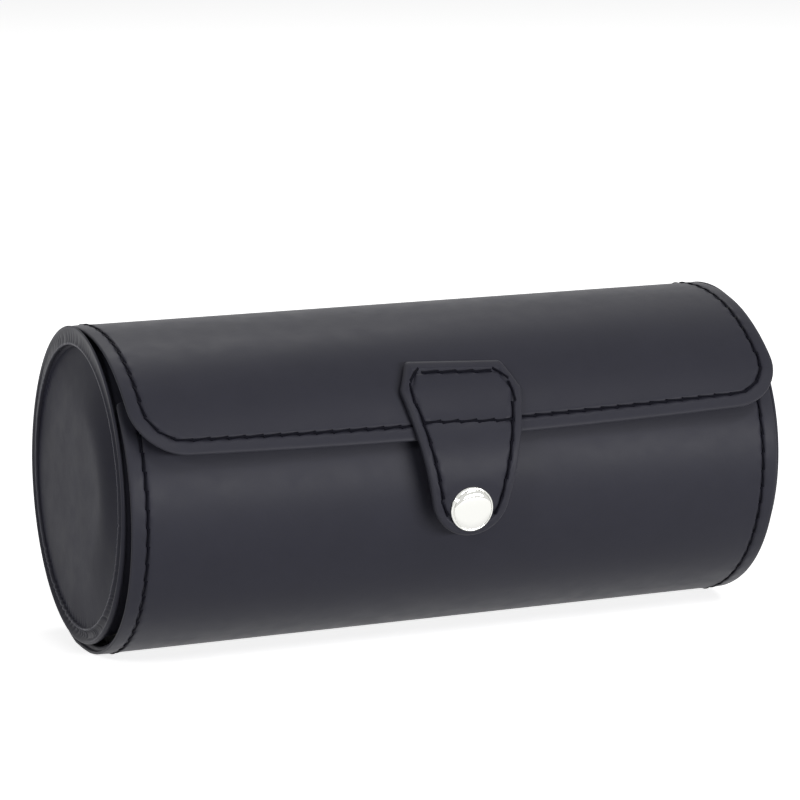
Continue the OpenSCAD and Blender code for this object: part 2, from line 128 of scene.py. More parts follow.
class WatchCaseShape(bpy.types.PropertyGroup):
    """How the soft covers lie on the drum."""

    wrap_drop: length("Wrap drop", "How far the wrap's centre lies under the drum's", 1.5)
    mouth_angle: degrees("Mouth angle", "Where the wrap ends at the front; 0 is the front, 90 the top", 40)
    leave_angle: degrees("Leave angle", "Where the flap leaves the wrap's curve", 100)
    front_length: length("Front length", "Length of the flap's front, measured round the curve", 63)
    stand_off_middle: length("Stand-off, middle", "How much flatter the flap's front is at the tab", 4.9)
    stand_off_end: length("Stand-off, ends", "How much flatter the flap's front is at its corners", 9.2)
    flap_corner: length("Flap corner", "Radius of the flap's front corners", 14)
    flap_thick: length("Flap thickness", "Leather, board and lining together", 2.2)
    flap_shift: length("Flap shift", "How far the flap's front sits to the right", 0.7)
    wrap_thick: length("Wrap fold", "Height of the wrap's folded edge", 2.1)
    wrap_corner: length("Wrap corner", "Radius of the wrap's corners under the flap", 6.5)
    wrap_over: length("Wrap edge", "How far the wrap's folded edge stands over the mouth", 2.6)
    ring_tight: length("Left ring, tight", "How much the left ring is drawn in round its outside", 0.5)
    belly: length("Belly", "How much flatter the wrap lies where it turns under", 0.6)
    fold: length("Fold radius", "Radius of the flap's and the wrap's folded edges", 0.45)
    pleat_depth: length("Pleat depth", "Depth of the gathers beside the end panel", 0.45)
    pleats: IntProperty(name="Pleats", description="Gathers round each end", default=110)
    dish: length("Dish", "How far the end panel is drawn in behind its ring", 3.9)
    lean_down: degrees("Left ring, lean", "How far the left ring leans out at its foot", 1.15)
    lean_front: degrees("Left ring, turn", "How far the left ring turns out at its front", 0.45)


class WatchCaseTab(bpy.types.PropertyGroup):
    """The closing tab and its press stud."""

    top_width: length("Top width", "Width of the tab's top edge", 26.6)
    wide_width: length("Shoulder width", "Width of the tab at its shoulders", 34)
    end_radius: length("End radius", "Radius of the tab's round end", 11)
    lean: degrees("Lean", "How far the tab hangs off square, about its shoulders", 2.6)
    row: length("Cross seam", "Height of the tab's cross seam over the bend", 2.2)
    shoulder_height: length("Shoulder height", "Height of the shoulders over the snap", 30)
    top_height: length("Top height", "Height of the top edge over the shoulders", 6.5)
    thick: length("Thickness", "Leather and backing together", 2.05)
    margin: length("End margin", "Leather left under the cap", 1.4)
    cap_width: length("Cap diameter", "Diameter of the press stud's cap", 12.1)
    cap_height: length("Cap height", "Height of the cap's dome", 1.7)
    snap_gap: length("Snap gap", "Distance from the wrap to the back of the tab", 3.8)
    snap_angle: degrees("Snap angle", "Where the snap sits on the wrap's curve", -2.5)


class WatchCaseSeams(bpy.types.PropertyGroup):
    """The stitching."""

    pitch: length("Pitch", "Distance from one stitch to the next", 4.8)
    stitch: length("Stitch", "Length of a stitch", 4.9)
    thread: length("Thread", "Diameter of the thread", 0.5)
    hole: number("Hole", "How much wider the thread spreads at a needle hole", 0.9)
    slant: degrees("Slant", "How far each stitch slants across its seam", 4.5)
    flap_edge: length("Flap seam", "Distance of the flap's seam from its edge", 4)
    wrap_edge: length("Wrap seam", "Distance of the wrap's seam from its edge", 4.3)
    tab_edge: length("Tab seam", "Distance of the tab's seam from its edge", 2.7)
    groove: length("Groove", "Depth that the thread pulls into the leather", 0.36)
    pucker: length("Pucker", "How much deeper each needle hole is", 0.16)


class WatchCaseInside(bpy.types.PropertyGroup):
    """The velour lining and the pillows."""

    margin: length("Turned margin", "Leather turned in over the flap's inside", 5.4)
    pillow_edge: length("Pillow edge", "Soft radius at the pillow's ends", 8)
    cloth_cap: length("Cloth cap", "The most that the filling may push the cloth out", 1)
    cloth_frames: IntProperty(
        name="Cloth frames", description="Frames that the pillow cloth settles for", default=20, min=2
    )


class WatchCaseFinish(bpy.types.PropertyGroup):
    """Colours, as they show under plain light."""

    leather: colour("Leather", "Wrap, flap and tab", "#2c2c34")
    # the folded-edge tone is partly the drier, greyer leather stretched over a fold and partly a faint
    # painted highlight along it
    edge: colour("Folded edge", "Leather stretched over a fold", "#303037")
    # painted highlight: the rings' crests are coloured light to stand for the thin highlight that the
    # low-shine leather doesn't catch on them
    crest: colour("Crests", "Leather drawn tight over the rings' crests", "#5c5c64")
    panel: colour("End panel", "Leather on the two ends", "#26262f")
    backing: colour("Tab backing", "Microfibre behind the tab", "#2e2e31")
    velour: colour("Velour", "Lining and pillows", "#4b4b50")
    thread: colour("Thread", "All of the stitching", "#0a0a12")
    nickel: colour("Nickel", "Cap, stud and socket", "#dadad6")
    board: colour("Greyboard", "Tube, ends and dividers", "#8d8474")
    padding: colour("Wrap padding", "Foam behind the wrap's leather", "#151517")


class WatchCaseStage(bpy.types.PropertyGroup):
    """Camera and light."""

    azimuth: degrees("Azimuth", "Camera's turn round the case; 0 looks along +Y", -22.64)
    elevation: degrees("Elevation", "Camera's height over the horizon", 12.4)
    distance: length("Distance", "Camera's distance from the case", 898.3)
    lens: number("Lens", "Focal length in mm on a 36 mm sensor", 147.56)
    aim_up: degrees("Aim up", "How far the camera looks over the case", 0.957)
    floor: colour("Floor", "Floor and backdrop", "#ffffff")
    glow: number("Glow", "How much the floor's white is lifted for the eye", 0.75)
    fill: number("Fill", "Strength of the light from all round", 0.05)


PANELS = {
    "shape": WatchCaseShape,
    "tab": WatchCaseTab,
    "seams": WatchCaseSeams,
    "inside": WatchCaseInside,
    "finish": WatchCaseFinish,
    "stage": WatchCaseStage,
}


class WatchCase(bpy.types.PropertyGroup):
    """Everything that the case's operators read."""

    shape: PointerProperty(type=WatchCaseShape)
    tab: PointerProperty(type=WatchCaseTab)
    seams: PointerProperty(type=WatchCaseSeams)
    inside: PointerProperty(type=WatchCaseInside)
    finish: PointerProperty(type=WatchCaseFinish)
    stage: PointerProperty(type=WatchCaseStage)


# --- materials --------------------------------------------------------------------------------


def add(tree, kind, inputs=None, **settings):
    """Adds a node with its settings, and feeds each named input a value or another node's output."""
    made = tree.nodes.new(kind)
    for name, value in settings.items():
        setattr(made, name, value)
    for name, value in (inputs or {}).items():
        if isinstance(value, bpy.types.NodeSocket):
            tree.links.new(value, made.inputs[name])
        else:
            made.inputs[name].default_value = value
    return made


def material(name, weave, *tones, **settings):
    """A material, made once: weave adds its nodes and gives the output of its surface."""
    found = bpy.data.materials.get(name)
    if found:
        return found
    made = bpy.data.materials.new(name)
    made.use_nodes = True
    tree = made.node_tree
    tree.nodes.clear()
    place = add(tree, "ShaderNodeTexCoord").outputs["Object"]
    add(tree, "ShaderNodeOutputMaterial", {"Surface": weave(tree, place, *tones, **settings)})
    return made


def opaque(tone):
    return (*tone, 1)


def specks(tree, place, size, detail):
    """Noise whose blotches are about size across."""
    inputs = {"Vector": place, "Scale": 1 / size, "Detail": detail}
    return add(tree, "ShaderNodeTexNoise", inputs).outputs["Fac"]


def spread(tree, pattern, low, high, seen=(0.3, 0.7)):
    """Maps the range of a pattern that is mostly seen onto low to high."""
    ends = {"From Min": seen[0], "From Max": seen[1], "To Min": low, "To Max": high}
    return add(tree, "ShaderNodeMapRange", {"Value": pattern, **ends}).outputs["Result"]


def shaded(tree, tone, factor):
    """A colour made darker or lighter by a factor."""
    return add(tree, "ShaderNodeVectorMath", {0: tone, "Scale": factor}, operation="SCALE").outputs["Vector"]


def relief(tree, pattern, strength, depth):
    """The normal of a surface whose pattern stands out by depth."""
    inputs = {"Strength": strength, "Distance": depth, "Height": pattern}
    return add(tree, "ShaderNodeBump", inputs).outputs["Normal"]


def surface(tree, base, rough, normal, **rest):
    """The surface of every finish; rest holds sheen, metal and how much it mirrors."""
    inputs = {"Base Color": base, "Roughness": rough, "Normal": normal}
    inputs |= {name.replace("_", " "): value for name, value in rest.items()}
    return add(tree, "ShaderNodeBsdfPrincipled", inputs).outputs["BSDF"]


def smooth_leather(tree, place, tone, edge, mottle, sheen=0.0, rough=0.42, shine=0.1):
    """Polyurethane-coated split leather, pressed with a fine haircell grain and rolled smooth.

    The eye gets a satin skin whose light spreads softly, a grain that shows only where light
    grazes it, and, where the fold attribute says, a second tone: on folded edges a drier, greyer
    skin where the leather is stretched, with a faint painted highlight, and on the rings' crests
    a painted highlight.
    """
    # blotches of the finish, 18 mm and 5 mm across
    small = specks(tree, place, 5 * MM, 5)
    blotch = add(tree, "ShaderNodeMix", {"Factor": 0.4, "A": specks(tree, place, 18 * MM, 3), "B": small})
    shade = spread(tree, blotch.outputs["Result"], 1 - mottle, 1 + mottle)
    # the fold attribute mixes in the second tone: greyer stretched leather with a faint painted highlight on
    # folded edges, a painted highlight on the rings' crests
    fold = add(tree, "ShaderNodeAttribute", attribute_name="fold").outputs["Fac"]
    wear_and_highlight = add(tree, "ShaderNodeMix", {0: fold, 6: opaque(tone), 7: opaque(edge)}, data_type="RGBA")
    # haircell grain: pores 0.45 mm apart, drawn about twice as coarse as the real ones
    pores = add(tree, "ShaderNodeTexVoronoi", {"Vector": place, "Scale": 1 / (0.8 * MM)}, feature="SMOOTH_F1")
    creases = specks(tree, place, 1.6 * MM, 4)
    grain = add(tree, "ShaderNodeMix", {"Factor": 0.55, "A": pores.outputs["Distance"], "B": creases})
    return surface(
        tree,
        shaded(tree, wear_and_highlight.outputs[2], shade),
        spread(tree, small, rough - 0.03, rough + 0.04),
        relief(tree, grain.outputs["Result"], 0.16, 0.1 * MM),
        Specular_IOR_Level=shine,
        Sheen_Weight=sheen,
        Sheen_Roughness=0.5,
    )


def velour(tree, place, tone):
    """Knitted polyester velour, brushed: short dense pile that drinks light and glows at its rims."""
    # pile laid over in patches 12 mm across, tufts 0.5 mm apart
    laid, tufts = specks(tree, place, 12 * MM, 3), specks(tree, place, 0.5 * MM, 3)
    shade = spread(tree, laid, 0.8, 1.15, seen=(0.35, 0.65))
    both = add(tree, "ShaderNodeMath", {0: shade, 1: spread(tree, tufts, 0.82, 1.15)}, operation="MULTIPLY")
    return surface(
        tree,
        shaded(tree, tone, both.outputs["Value"]),
        0.95,
        relief(tree, tufts, 0.5, 0.2 * MM),
        IOR=1.5,
        Specular_IOR_Level=0.2,
        Sheen_Weight=0.45,
        Sheen_Roughness=0.35,
    )


def nickel_plate(tree, place, tone, rough):
    """Nickel-plated pressed brass, barrel polished: a warm mirror with faint tumbling marks."""
    marks = specks(tree, place, 0.9 * MM, 6)
    blur = spread(tree, marks, rough, rough * 1.7, seen=(0.35, 0.7))
    return surface(tree, opaque(tone), blur, relief(tree, marks, 0.04, 0.05 * MM), Metallic=1.0)


def waxed_thread(tree, place, tone):
    """Bonded polyester thread: three plies whose twist shows as slanting ribs along each stitch."""
    # ribs 0.5 mm apart; a wave texture of scale 1 draws 20 bands to the unit
    ribs = {"Vector": place, "Scale": 1 / (0.5 * MM) / 20, "Distortion": 1.2}
    plies = add(tree, "ShaderNodeTexWave", ribs, bands_direction="DIAGONAL").outputs["Fac"]
    fuzz = spread(tree, specks(tree, place, 0.3 * MM, 2), 0.75, 1.3)
    normal = relief(tree, plies, 0.5, 0.1 * MM)
    return surface(tree, shaded(tree, tone, fuzz), 0.6, normal, Specular_IOR_Level=0.05)


def greyboard(tree, place, tone):
    """Rolled greyboard: recycled fibre with darker flecks, matt."""
    flecks = specks(tree, place, 1.1 * MM, 6)
    base = shaded(tree, tone, spread(tree, flecks, 0.78, 1.12))
    return surface(tree, base, 0.9, relief(tree, flecks, 0.25, 0.1 * MM), IOR=1.45)


def cut_foam(tree, place, tone):
    """Cut polyurethane foam: open cells about a millimetre across."""
    cells = add(tree, "ShaderNodeTexVoronoi", {"Vector": place, "Scale": 1 / (1.1 * MM)}).outputs["Distance"]
    # painted shade: each cell is darker towards its middle, where the bump puts its hollow
    base = shaded(tree, tone, spread(tree, cells, 0.7, 1.05, seen=(0, 0.8)))
    return surface(tree, base, 0.95, relief(tree, cells, 0.6, 0.4 * MM), IOR=1.4)


def finishes(case):
    """The case's materials by short name."""
    tone = case.finish

    def leather(name, flat, wear_and_highlight, **settings):
        return material(name, smooth_leather, flat, wear_and_highlight, **settings)

    return {
        # the satin leather's second tone is greyer stretched leather with a faint painted highlight on its
        # folds
        "leather": leather("Coated leather, satin", tone.leather, tone.edge, mottle=0.05),
        # the gathered leather's second tone paints the highlight on the rings' crests
        "gathered": leather("Coated leather, gathered", tone.leather, tone.crest, mottle=0.08),
        "panel": leather(
            "Coated leather, end panel", tone.panel, tone.edge, mottle=0.16, rough=0.5, shine=0.06
        ),
        "backing": leather(
            "Microfibre backing", tone.backing, tone.backing, mottle=0.1, sheen=0.2, rough=0.85
        ),
        "velour": material("Brushed velour", velour, tone.velour),
        "thread": material("Bonded thread", waxed_thread, tone.thread),
        "cap": material("Nickel plate, polished", nickel_plate, tone.nickel, rough=0.06),
        "metal": material("Nickel plate, pressed", nickel_plate, tone.nickel, rough=0.22),
        "board": material("Greyboard", greyboard, tone.board),
        "padding": material("Cut foam, black", cut_foam, tone.padding),
    }


# --- curves that the covers follow --------------------------------------------------------------


def direction(angle):
    """The way out from the axis at an angle round the drum, as (y, z)."""
    return Vector((-math.cos(angle), math.sin(angle)))


def wrap_centre(case):
    return Vector((0, AXIS_Z - case.shape.wrap_drop))


def on_circle(x, centre, radius, angle):
    out = centre + radius * direction(angle)
    return Vector((x, out.x, out.y))


def ease(t):
    t = min(max(t, 0), 1)
    return t * t * (3 - 2 * t)


def hollow(x, width):
    """1 in the middle of a groove, 0 at half its width and beyond."""
    return (1 + math.cos(math.pi * x / width * 2)) / 2 if abs(x) < width / 2 else 0


def on_flap(case, x, s, up):
    """A point on the flap or the back of the wrap.

    s runs round the curve from where the flap leaves the wrap, towards the front; up is the
    height over the leather. The front stands off more at its corners than at the tab.
    """
    shape = case.shape
    if s <= 0:
        return on_circle(x, wrap_centre(case), WRAP_R + up, shape.leave_angle - s / WRAP_R)
    away = min(abs(x) / FLAP_X, 1) ** 1.8
    stand_off = shape.stand_off_middle + (shape.stand_off_end - shape.stand_off_middle) * away
    radius = WRAP_R + stand_off
    centre = wrap_centre(case) - stand_off * direction(shape.leave_angle)
    return on_circle(x, centre, radius + up, shape.leave_angle - s / radius)


def on_wrap(case, x, s, up):
    """A point on the front of the wrap; s runs down from its top edge."""
    angle = case.shape.mouth_angle + (case.shape.wrap_over - s) / WRAP_R
    drawn_in = case.shape.belly * ease(-(angle + math.radians(30)) / math.radians(40))
    return on_circle(x, wrap_centre(case), WRAP_R + up - drawn_in, angle)


def resting(point, up):
    """Presses a point that would lie under the ground flat against it."""
    floor_z = 0.02 * MM - min(up, 0)
    if point.z < floor_z:
        point.z = floor_z
    return point


class TabCurve:
    """The tab's outer face down its middle: on the flap, over the bend and down to the snap."""

    def __init__(self, case):
        shape, tab = case.shape, case.tab
        self.radius = WRAP_R + shape.stand_off_middle
        self.centre = wrap_centre(case) - shape.stand_off_middle * direction(shape.leave_angle)
        self.edge = shape.leave_angle - shape.front_length / self.radius
        self.rise = tab.thick + 0.05 * MM
        foot = self.centre + self.radius * direction(self.edge)
        self.normal = direction(tab.snap_angle)
        self.snap_angle = tab.snap_angle
        away = (foot - wrap_centre(case)).dot(self.normal)
        self.bend = (WRAP_R + tab.snap_gap - away) / (1 - direction(self.edge).dot(self.normal))
        self.bend_centre = foot - self.bend * direction(self.edge)
        self.bend_length = (self.edge - self.snap_angle) * (self.bend + self.rise)
        self.snap = wrap_centre(case) + (WRAP_R + tab.snap_gap) * self.normal

    def at(self, s, up=0):
        """(y, z) and the way out at a distance s below the flap's edge."""
        if s < 0:
            angle = self.edge - s / (self.radius + self.rise)
            return self.centre + (self.radius + self.rise + up) * direction(angle)
        angle = max(self.edge - s / (self.bend + self.rise), self.snap_angle)
        out = self.bend_centre + (self.bend + self.rise + up) * direction(angle)
        if s > self.bend_length:
            turn = direction(self.snap_angle - math.pi / 2)
            out = out + (s - self.bend_length) * turn
        return out

    def s_at(self, z):
        """The distance along the tab at which its face is at height z."""
        low, high = -45 * MM, 45 * MM
        for _ in range(40):
            half = (low + high) / 2
            low, high = (half, high) if self.at(half).y > z else (low, half)
        return (low + high) / 2


# --- mesh work ----------------------------------------------------------------------------------


def row_of(bm, points):
    """A line of vertices joined by edges; returns the edges."""
    verts = [bm.verts.new(p) for p in points]
    return [bm.edges.new(pair) for pair in zip(verts, verts[1:])]


def whole(bm):
    return bm.verts[:] + bm.edges[:] + bm.faces[:]


def ends_of(edges):
    """The vertices of some edges, each once and always in the same order."""
    return list(dict.fromkeys(v for e in edges for v in e.verts))


def circle(bm, points, radius):
    """A ring of vertices round the X axis, and its edges."""
    upright = Matrix.Rotation(math.pi / 2, 4, "Y")
    ring = bmesh.ops.create_circle(bm, segments=points, radius=radius, matrix=upright)["verts"]
    return ring, list(dict.fromkeys(e for v in ring for e in v.link_edges))


def joined(bm, other):
    """Adds another mesh to this one and frees it."""
    mesh = bpy.data.meshes.new("joined")
    other.to_mesh(mesh)
    other.free()
    bm.from_mesh(mesh)
    bpy.data.meshes.remove(mesh)


def moved(bm, place):
    """Moves each vertex to where place puts its (x, y, z)."""
    for v in bm.verts:
        v.co = place(*v.co)


def pull(bm, edges, step):
    """Extrudes edges by a step and returns the new ones."""
    grown = bmesh.ops.extrude_edge_only(bm, edges=edges)["geom"]
    verts = [g for g in grown if isinstance(g, bmesh.types.BMVert)]
    bmesh.ops.translate(bm, verts=verts, vec=step)
    ends = set(verts)
    return [g for g in grown if isinstance(g, bmesh.types.BMEdge) and set(g.verts) <= ends]


def turn(bm, edges, centre, axis, angle, steps):
    """Spins edges round an axis and returns the last ones."""
    last = bmesh.ops.spin(
        bm, geom=ends_of(edges) + edges, cent=centre, axis=axis, dvec=(0, 0, 0), angle=angle,
        steps=steps, use_merge=False, use_normal_flip=False, use_duplicate=False,
    )["geom_last"]
    return [g for g in last if isinstance(g, bmesh.types.BMEdge)]


def stops(start, end, step):
    """Evenly spaced stations from start to end, no wider apart than step."""
    count = max(1, math.ceil(abs(end - start) / step - 1e-6))
    return [start + (end - start) * i / count for i in range(count + 1)]


def clean(bm, outward, gap=1e-6):
    """Merges doubles and turns the faces so that the one nearest a point faces the way given."""
    bmesh.ops.remove_doubles(bm, verts=bm.verts, dist=gap)
    bmesh.ops.recalc_face_normals(bm, faces=bm.faces)
    where, way = outward
    near = min(bm.faces, key=lambda f: (f.calc_center_median() - Vector(where)).length)
    if near.normal.dot(Vector(way)) < 0:
        bmesh.ops.reverse_faces(bm, faces=bm.faces)


def mirrored(bm):
    """Adds the half on the other side of the drum's middle."""
    bmesh.ops.mirror(bm, geom=whole(bm), matrix=Matrix.Identity(4), merge_dist=1e-6, axis="X")


def finished(name, bm, material, body=None, smooth=True):
    """Makes the object, with every face smooth, and lets it ride on its body."""
    mesh = bpy.data.meshes.new(name)
    bm.to_mesh(mesh)
    bm.free()
    if smooth:
        mesh.polygons.foreach_set("use_smooth", [True] * len(mesh.polygons))
    mesh.materials.append(material)
    made = bpy.data.objects.new(name, mesh)
    bpy.context.scene.collection.objects.link(made)
    if body:
        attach(made, body)
    return made


def edge_profile(thick, seam, reach, turned, seams, fold):
    """(distance in from the edge, height, fold) across a folded, stitched edge of leather.

    It starts inside the seam, crosses the stitched groove and the raised margin, rounds the
    fold, steps back to the layer behind it where there is one and ends under the turned-in
    leather.
    """
    groove = seams.groove
    outside = [(reach, 0, 0)]
    inner = seam + 1.6 * MM
    while outside[-1][0] - inner > 1.5 * MM:
        outside.append((outside[-1][0] - 1.4 * MM, 0, 0))
    outside += [
        (seam + 1.6 * MM, 0.02 * MM, 0),
        (seam + 0.9 * MM, 0.05 * MM, 0),
        (seam + 0.5 * MM, -0.15 * groove, 0),
        (seam + 0.25 * MM, -0.8 * groove, 0),
        (seam, -groove, 0),
        (seam - 0.25 * MM, -0.8 * groove, 0),
        (seam - 0.5 * MM, -0.1 * groove, 0),
        (seam - 0.9 * MM, 0.08 * MM, 0.05),
        (seam * 0.6, 0.07 * MM, 0.05),
        (max(fold * 1.3, seam * 0.3), 0.02 * MM, 0.15),
    ]
    # the fold's round gets the whole folded-edge tone: greyer stretched leather with a faint painted
    # highlight
    for angle in (math.radians(d) for d in range(15, 181, 15)):
        outside.append((fold * (1 - math.sin(angle)), fold * (math.cos(angle) - 1), 1))
    if thick > 2.5 * fold:
        outside += [
            (fold * 2.2, -2.05 * fold, 0),
            (fold * 2.4, -2.6 * fold, 0),
            (fold * 2.6, -thick + 0.2 * MM, 0),
        ]
    outside += [(fold * 2.2 + 0.8 * MM, -thick, 0), (turned * 0.6, -thick, 0), (turned, -thick, 0)]
    return outside


# --- operators ----------------------------------------------------------------------------------


def half_panel(profile, half, corner, front, back, step):
    """Half of a panel, flat: X across, Y round the drum, Z up from the leather.

    The edge's section is drawn once at the middle of the front, pulled along the front, spun
    round the corner and pulled back along the side; the inside is filled with an even grid.
    """
    bm = bmesh.new()
    # fold weights the folded-edge tone: greyer stretched leather with a faint painted highlight
    fold = bm.verts.layers.float.new("fold")
    edges = row_of(bm, [Vector((0, front - d, up)) for d, up, _ in profile])
    for v, (_, _, wear_and_highlight) in zip(bm.verts, profile):
        v[fold] = wear_and_highlight
    top = profile[0][1]
    xs = stops(0, half - corner, step)
    for a, b in zip(xs, xs[1:]):
        edges = pull(bm, edges, (b - a, 0, 0))
    inside = [
        e
        for e in bm.edges
        if all(abs(v.co.y - front + corner) < 1e-7 and abs(v.co.z - top) < 1e-9 for v in e.verts)
    ]
    edges = turn(bm, edges, (half - corner, front - corner, 0), (0, 0, 1), -math.pi / 2, 14)
    ys = stops(front - corner, back, step)
    for a, b in zip(ys, ys[1:]):
        edges = pull(bm, edges, (0, b - a, 0))
        inside = pull(bm, inside, (0, b - a, 0))
    bmesh.ops.remove_doubles(bm, verts=bm.verts, dist=1e-6)
    return bm


def seam_run(x, y, half, corner, front, seam):
    """The distance along the seam, from the middle of the front, nearest to a point."""
    x = abs(x)
    if y > front - corner and x < half - corner:
        return x
    arc = corner - seam
    if y > front - corner:
        angle = math.atan2(x - (half - corner), y - (front - corner))
        return half - corner + arc * angle
    return half - corner + arc * math.pi / 2 + (front - corner - y)


def edge_distance(x, y, half, corner, front):
    """How far inside the panel's edge a point lies."""
    dx, dy = half - abs(x), front - y
    if dx < corner and dy < corner:
        return corner - math.hypot(corner - dx, corner - dy)
    return min(dx, dy)


def pucker(case, bm, half, corner, front, seam):
    """Draws each needle hole a little deeper and lets the leather swell between them."""
    seams = case.seams
    for v in bm.verts:
        if v.co.z < -0.6 * MM:
            continue
        near = edge_distance(v.co.x, v.co.y, half, corner, front) - seam
        if abs(near) < 1.8 * MM:
            along = seam_run(v.co.x, v.co.y, half, corner, front, seam)
            wave = math.cos(2 * math.pi * along / seams.pitch)
            v.co.z -= seams.pucker * hollow(near, 3.6 * MM) * (wave + 0.15)


def stitch(bm, size, length, lift, hole):
    """One stitch, flat: a thread along X from -length/2 to length/2 that dives at both ends."""
    rings = 8
    ring, edges = circle(bm, 6, size / 2)
    made = list(ring)
    bmesh.ops.translate(bm, verts=ring, vec=(-length / 2, 0, 0))
    for i in range(rings):
        edges = pull(bm, edges, (length / rings, 0, 0))
        made += ends_of(edges)
    for v in made:
        t = v.co.x / length * 2
        thin = math.sqrt(max(1 - abs(t) ** 4, 0.12))
        v.co.y *= 1 + hole * abs(t) ** 3
        v.co.z = v.co.z * thin + lift * (1 - t * t) - lift * 0.9
    return made


def laid_stitches(seams, path, total, offset=0.0):
    """Stitches in pattern space along a path: path(t) gives (x, y) at a distance t."""
    bm = bmesh.new()
    count = round(total / seams.pitch)
    step = total / count
    for i in range(count):
        middle = (i + 0.5) * step
        a, b = path(middle - seams.stitch / 2), path(middle + seams.stitch / 2)
        centre = path(middle)
        made = stitch(bm, seams.thread, seams.stitch, 0.2 * MM, seams.hole)
        angle = math.atan2(b[1] - a[1], b[0] - a[0])
        # each stitch slants a little across the seam, as lockstitch does
        slanted = Matrix.Rotation(angle + seams.slant, 4, "Z")
        bmesh.ops.transform(bm, matrix=Matrix.Translation((*centre, offset)) @ slanted, verts=made)
    return bm


def hinge_along(case):
    """Where the hinge lies on the flap's pattern."""
    middle = wrap_centre(case)
    angle = math.pi - math.asin((HINGE.z - middle.y) / WRAP_R)
    return -(angle - case.shape.leave_angle) * WRAP_R


def bend_at_hinge(piece):
    """Bakes a piece's transform into its mesh."""
    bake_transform(piece)


def bend_at_tab(case, piece):
    """Works out the tab's bend, which is not used, and bakes a piece's transform into its mesh."""
    curve = TabCurve(case)
    down = direction(curve.edge - math.pi / 2)
    down = Vector((0, down.x, down.y))
    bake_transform(piece)


def back_end(case):
    """Where the back of the wrap ends on the flap's pattern, under the case."""
    return -(1.5 * math.pi - case.shape.leave_angle) * WRAP_R


def flap_half():
    """Half the flap's width, folded edge included."""
    return FLAP_X + 0.5 * MM


def set_over(case, x, s):
    """Widens the flap's pattern to the wrap behind the hinge, and shifts its front a little."""
    wide = 1 + (WRAP_X / flap_half() - 1) * ease((hinge_along(case) + 2 * MM - s) / (8 * MM))
    return x * wide + case.shape.flap_shift * ease(s / (30 * MM))


def squared(x, y, half, corner, front):
    """Draws a panel's round corner out until it is almost square."""
    dx, dy = abs(x) - half + corner, y - front + corner
    if dx <= 0 or dy <= 0:
        return x, y
    angle = math.atan2(dy, dx)
    out = (math.cos(angle) ** 9 + math.sin(angle) ** 9) ** (-1 / 9)
    return math.copysign(half - corner + dx * out, x), front - corner + dy * out


class WATCHCASE_OT_flap_skin(bpy.types.Operator):
    """Cut one piece of leather for the flap and the wrap's back, and bend it over the drum"""

    bl_idname = "watchcase.flap_skin"
    bl_label = "Flap and Back Leather"

    def execute(self, context):
        case = context.scene.watch_case
        shape, seams = case.shape, case.seams
        front, corner, half, seam = shape.front_length, shape.flap_corner, flap_half(), seams.flap_edge
        thick = shape.flap_thick - 0.2 * MM
        profile = edge_profile(thick, seam, corner, case.inside.margin, seams, shape.fold)
        bm = half_panel(profile, half, corner, front, back_end(case), seams.pitch / 4)
        pucker(case, bm, half, corner, front, seam)
        mirrored(bm)
        clean(bm, ((0, 0, 0), (0, 0, 1)))
        moved(bm, lambda x, s, up: resting(on_flap(case, set_over(case, x, s), s, up), up))
        skin = finished("flap_back_skin", bm, finishes(case)["leather"])
        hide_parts("flap_leather", "flap_board")
        bend_at_hinge(skin)
        return {"FINISHED"}


def wrap_down(case):
    """Length of the wrap's front, from its top edge to the ground."""
    return (case.shape.mouth_angle + math.pi / 2) * WRAP_R + case.shape.wrap_over


def from_wrap_pattern(case, x, y, up):
    """Where a place on the wrap's flat pattern, whose corners are round, lies on the case."""
    x, y = squared(x, y, WRAP_X, case.shape.wrap_corner, 0)
    return on_wrap(case, x, -y, up)


class WATCHCASE_OT_wrap_skin(bpy.types.Operator):
    """Cover the front of the wrap, from under the flap down to the ground"""

    bl_idname = "watchcase.wrap_skin"
    bl_label = "Wrap Leather"

    def execute(self, context):
        case = context.scene.watch_case
        shape, seams = case.shape, case.seams
        down, corner, seam = wrap_down(case), shape.wrap_corner, seams.wrap_edge
        profile = edge_profile(shape.wrap_thick, seam, corner, 5 * MM, seams, shape.fold)
        bm = half_panel(profile, WRAP_X, corner, 0, -down, seams.pitch / 4)
        pucker(case, bm, WRAP_X, corner, 0, seam)
        mirrored(bm)
        clean(bm, ((0, -down / 2, 0), (0, 0, 1)))
        moved(bm, lambda x, y, up: resting(from_wrap_pattern(case, x, y, up), up))
        skin = finished("wrap_front_skin", bm, finishes(case)["leather"], "case")
        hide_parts("wrap_leather")
        return {"FINISHED"}


def rounded_outline(corners, gap, step=1.2 * MM):
    """A closed outline through filleted corners, moved in by gap.

    corners holds (x, y, radius, points on the arc), anticlockwise. Every gap gives as many
    points, so outlines of different gaps join one to one.
    """
    flat = [Vector(c[:2]) for c in corners]
    sides = [b - a for a, b in zip(flat, flat[1:] + flat[:1])]
    ways = [side.normalized() for side in sides]
    lines = [(p + Vector((-way.y, way.x)) * gap, way) for p, way in zip(flat, ways)]
    arcs = []
    for i, (_, _, radius, points) in enumerate(corners):
        (p, v), (q, w) = lines[i - 1], lines[i]
        cross = v.x * w.y - v.y * w.x
        t = ((q.x - p.x) * w.y - (q.y - p.y) * w.x) / cross
        corner = p + v * t
        angle = math.atan2(cross, v.dot(w))
        r = max(radius - gap, 0.2 * MM)
        reach = r * math.tan(angle / 2)
        centre = corner - v * reach + Vector((-v.y, v.x)) * r
        start = math.atan2(-v.x, v.y)
        turns = [start + angle * k / points for k in range(points + 1)]
        arcs.append([centre + r * Vector((math.cos(a), math.sin(a))) for a in turns])
    outline = []
    for arc, after, side in zip(arcs, arcs[1:] + arcs[:1], sides):
        pieces = max(1, round(side.length / step / 1.3))
        outline += arc + [arc[-1].lerp(after[0], k / pieces) for k in range(1, pieces)]
    return outline


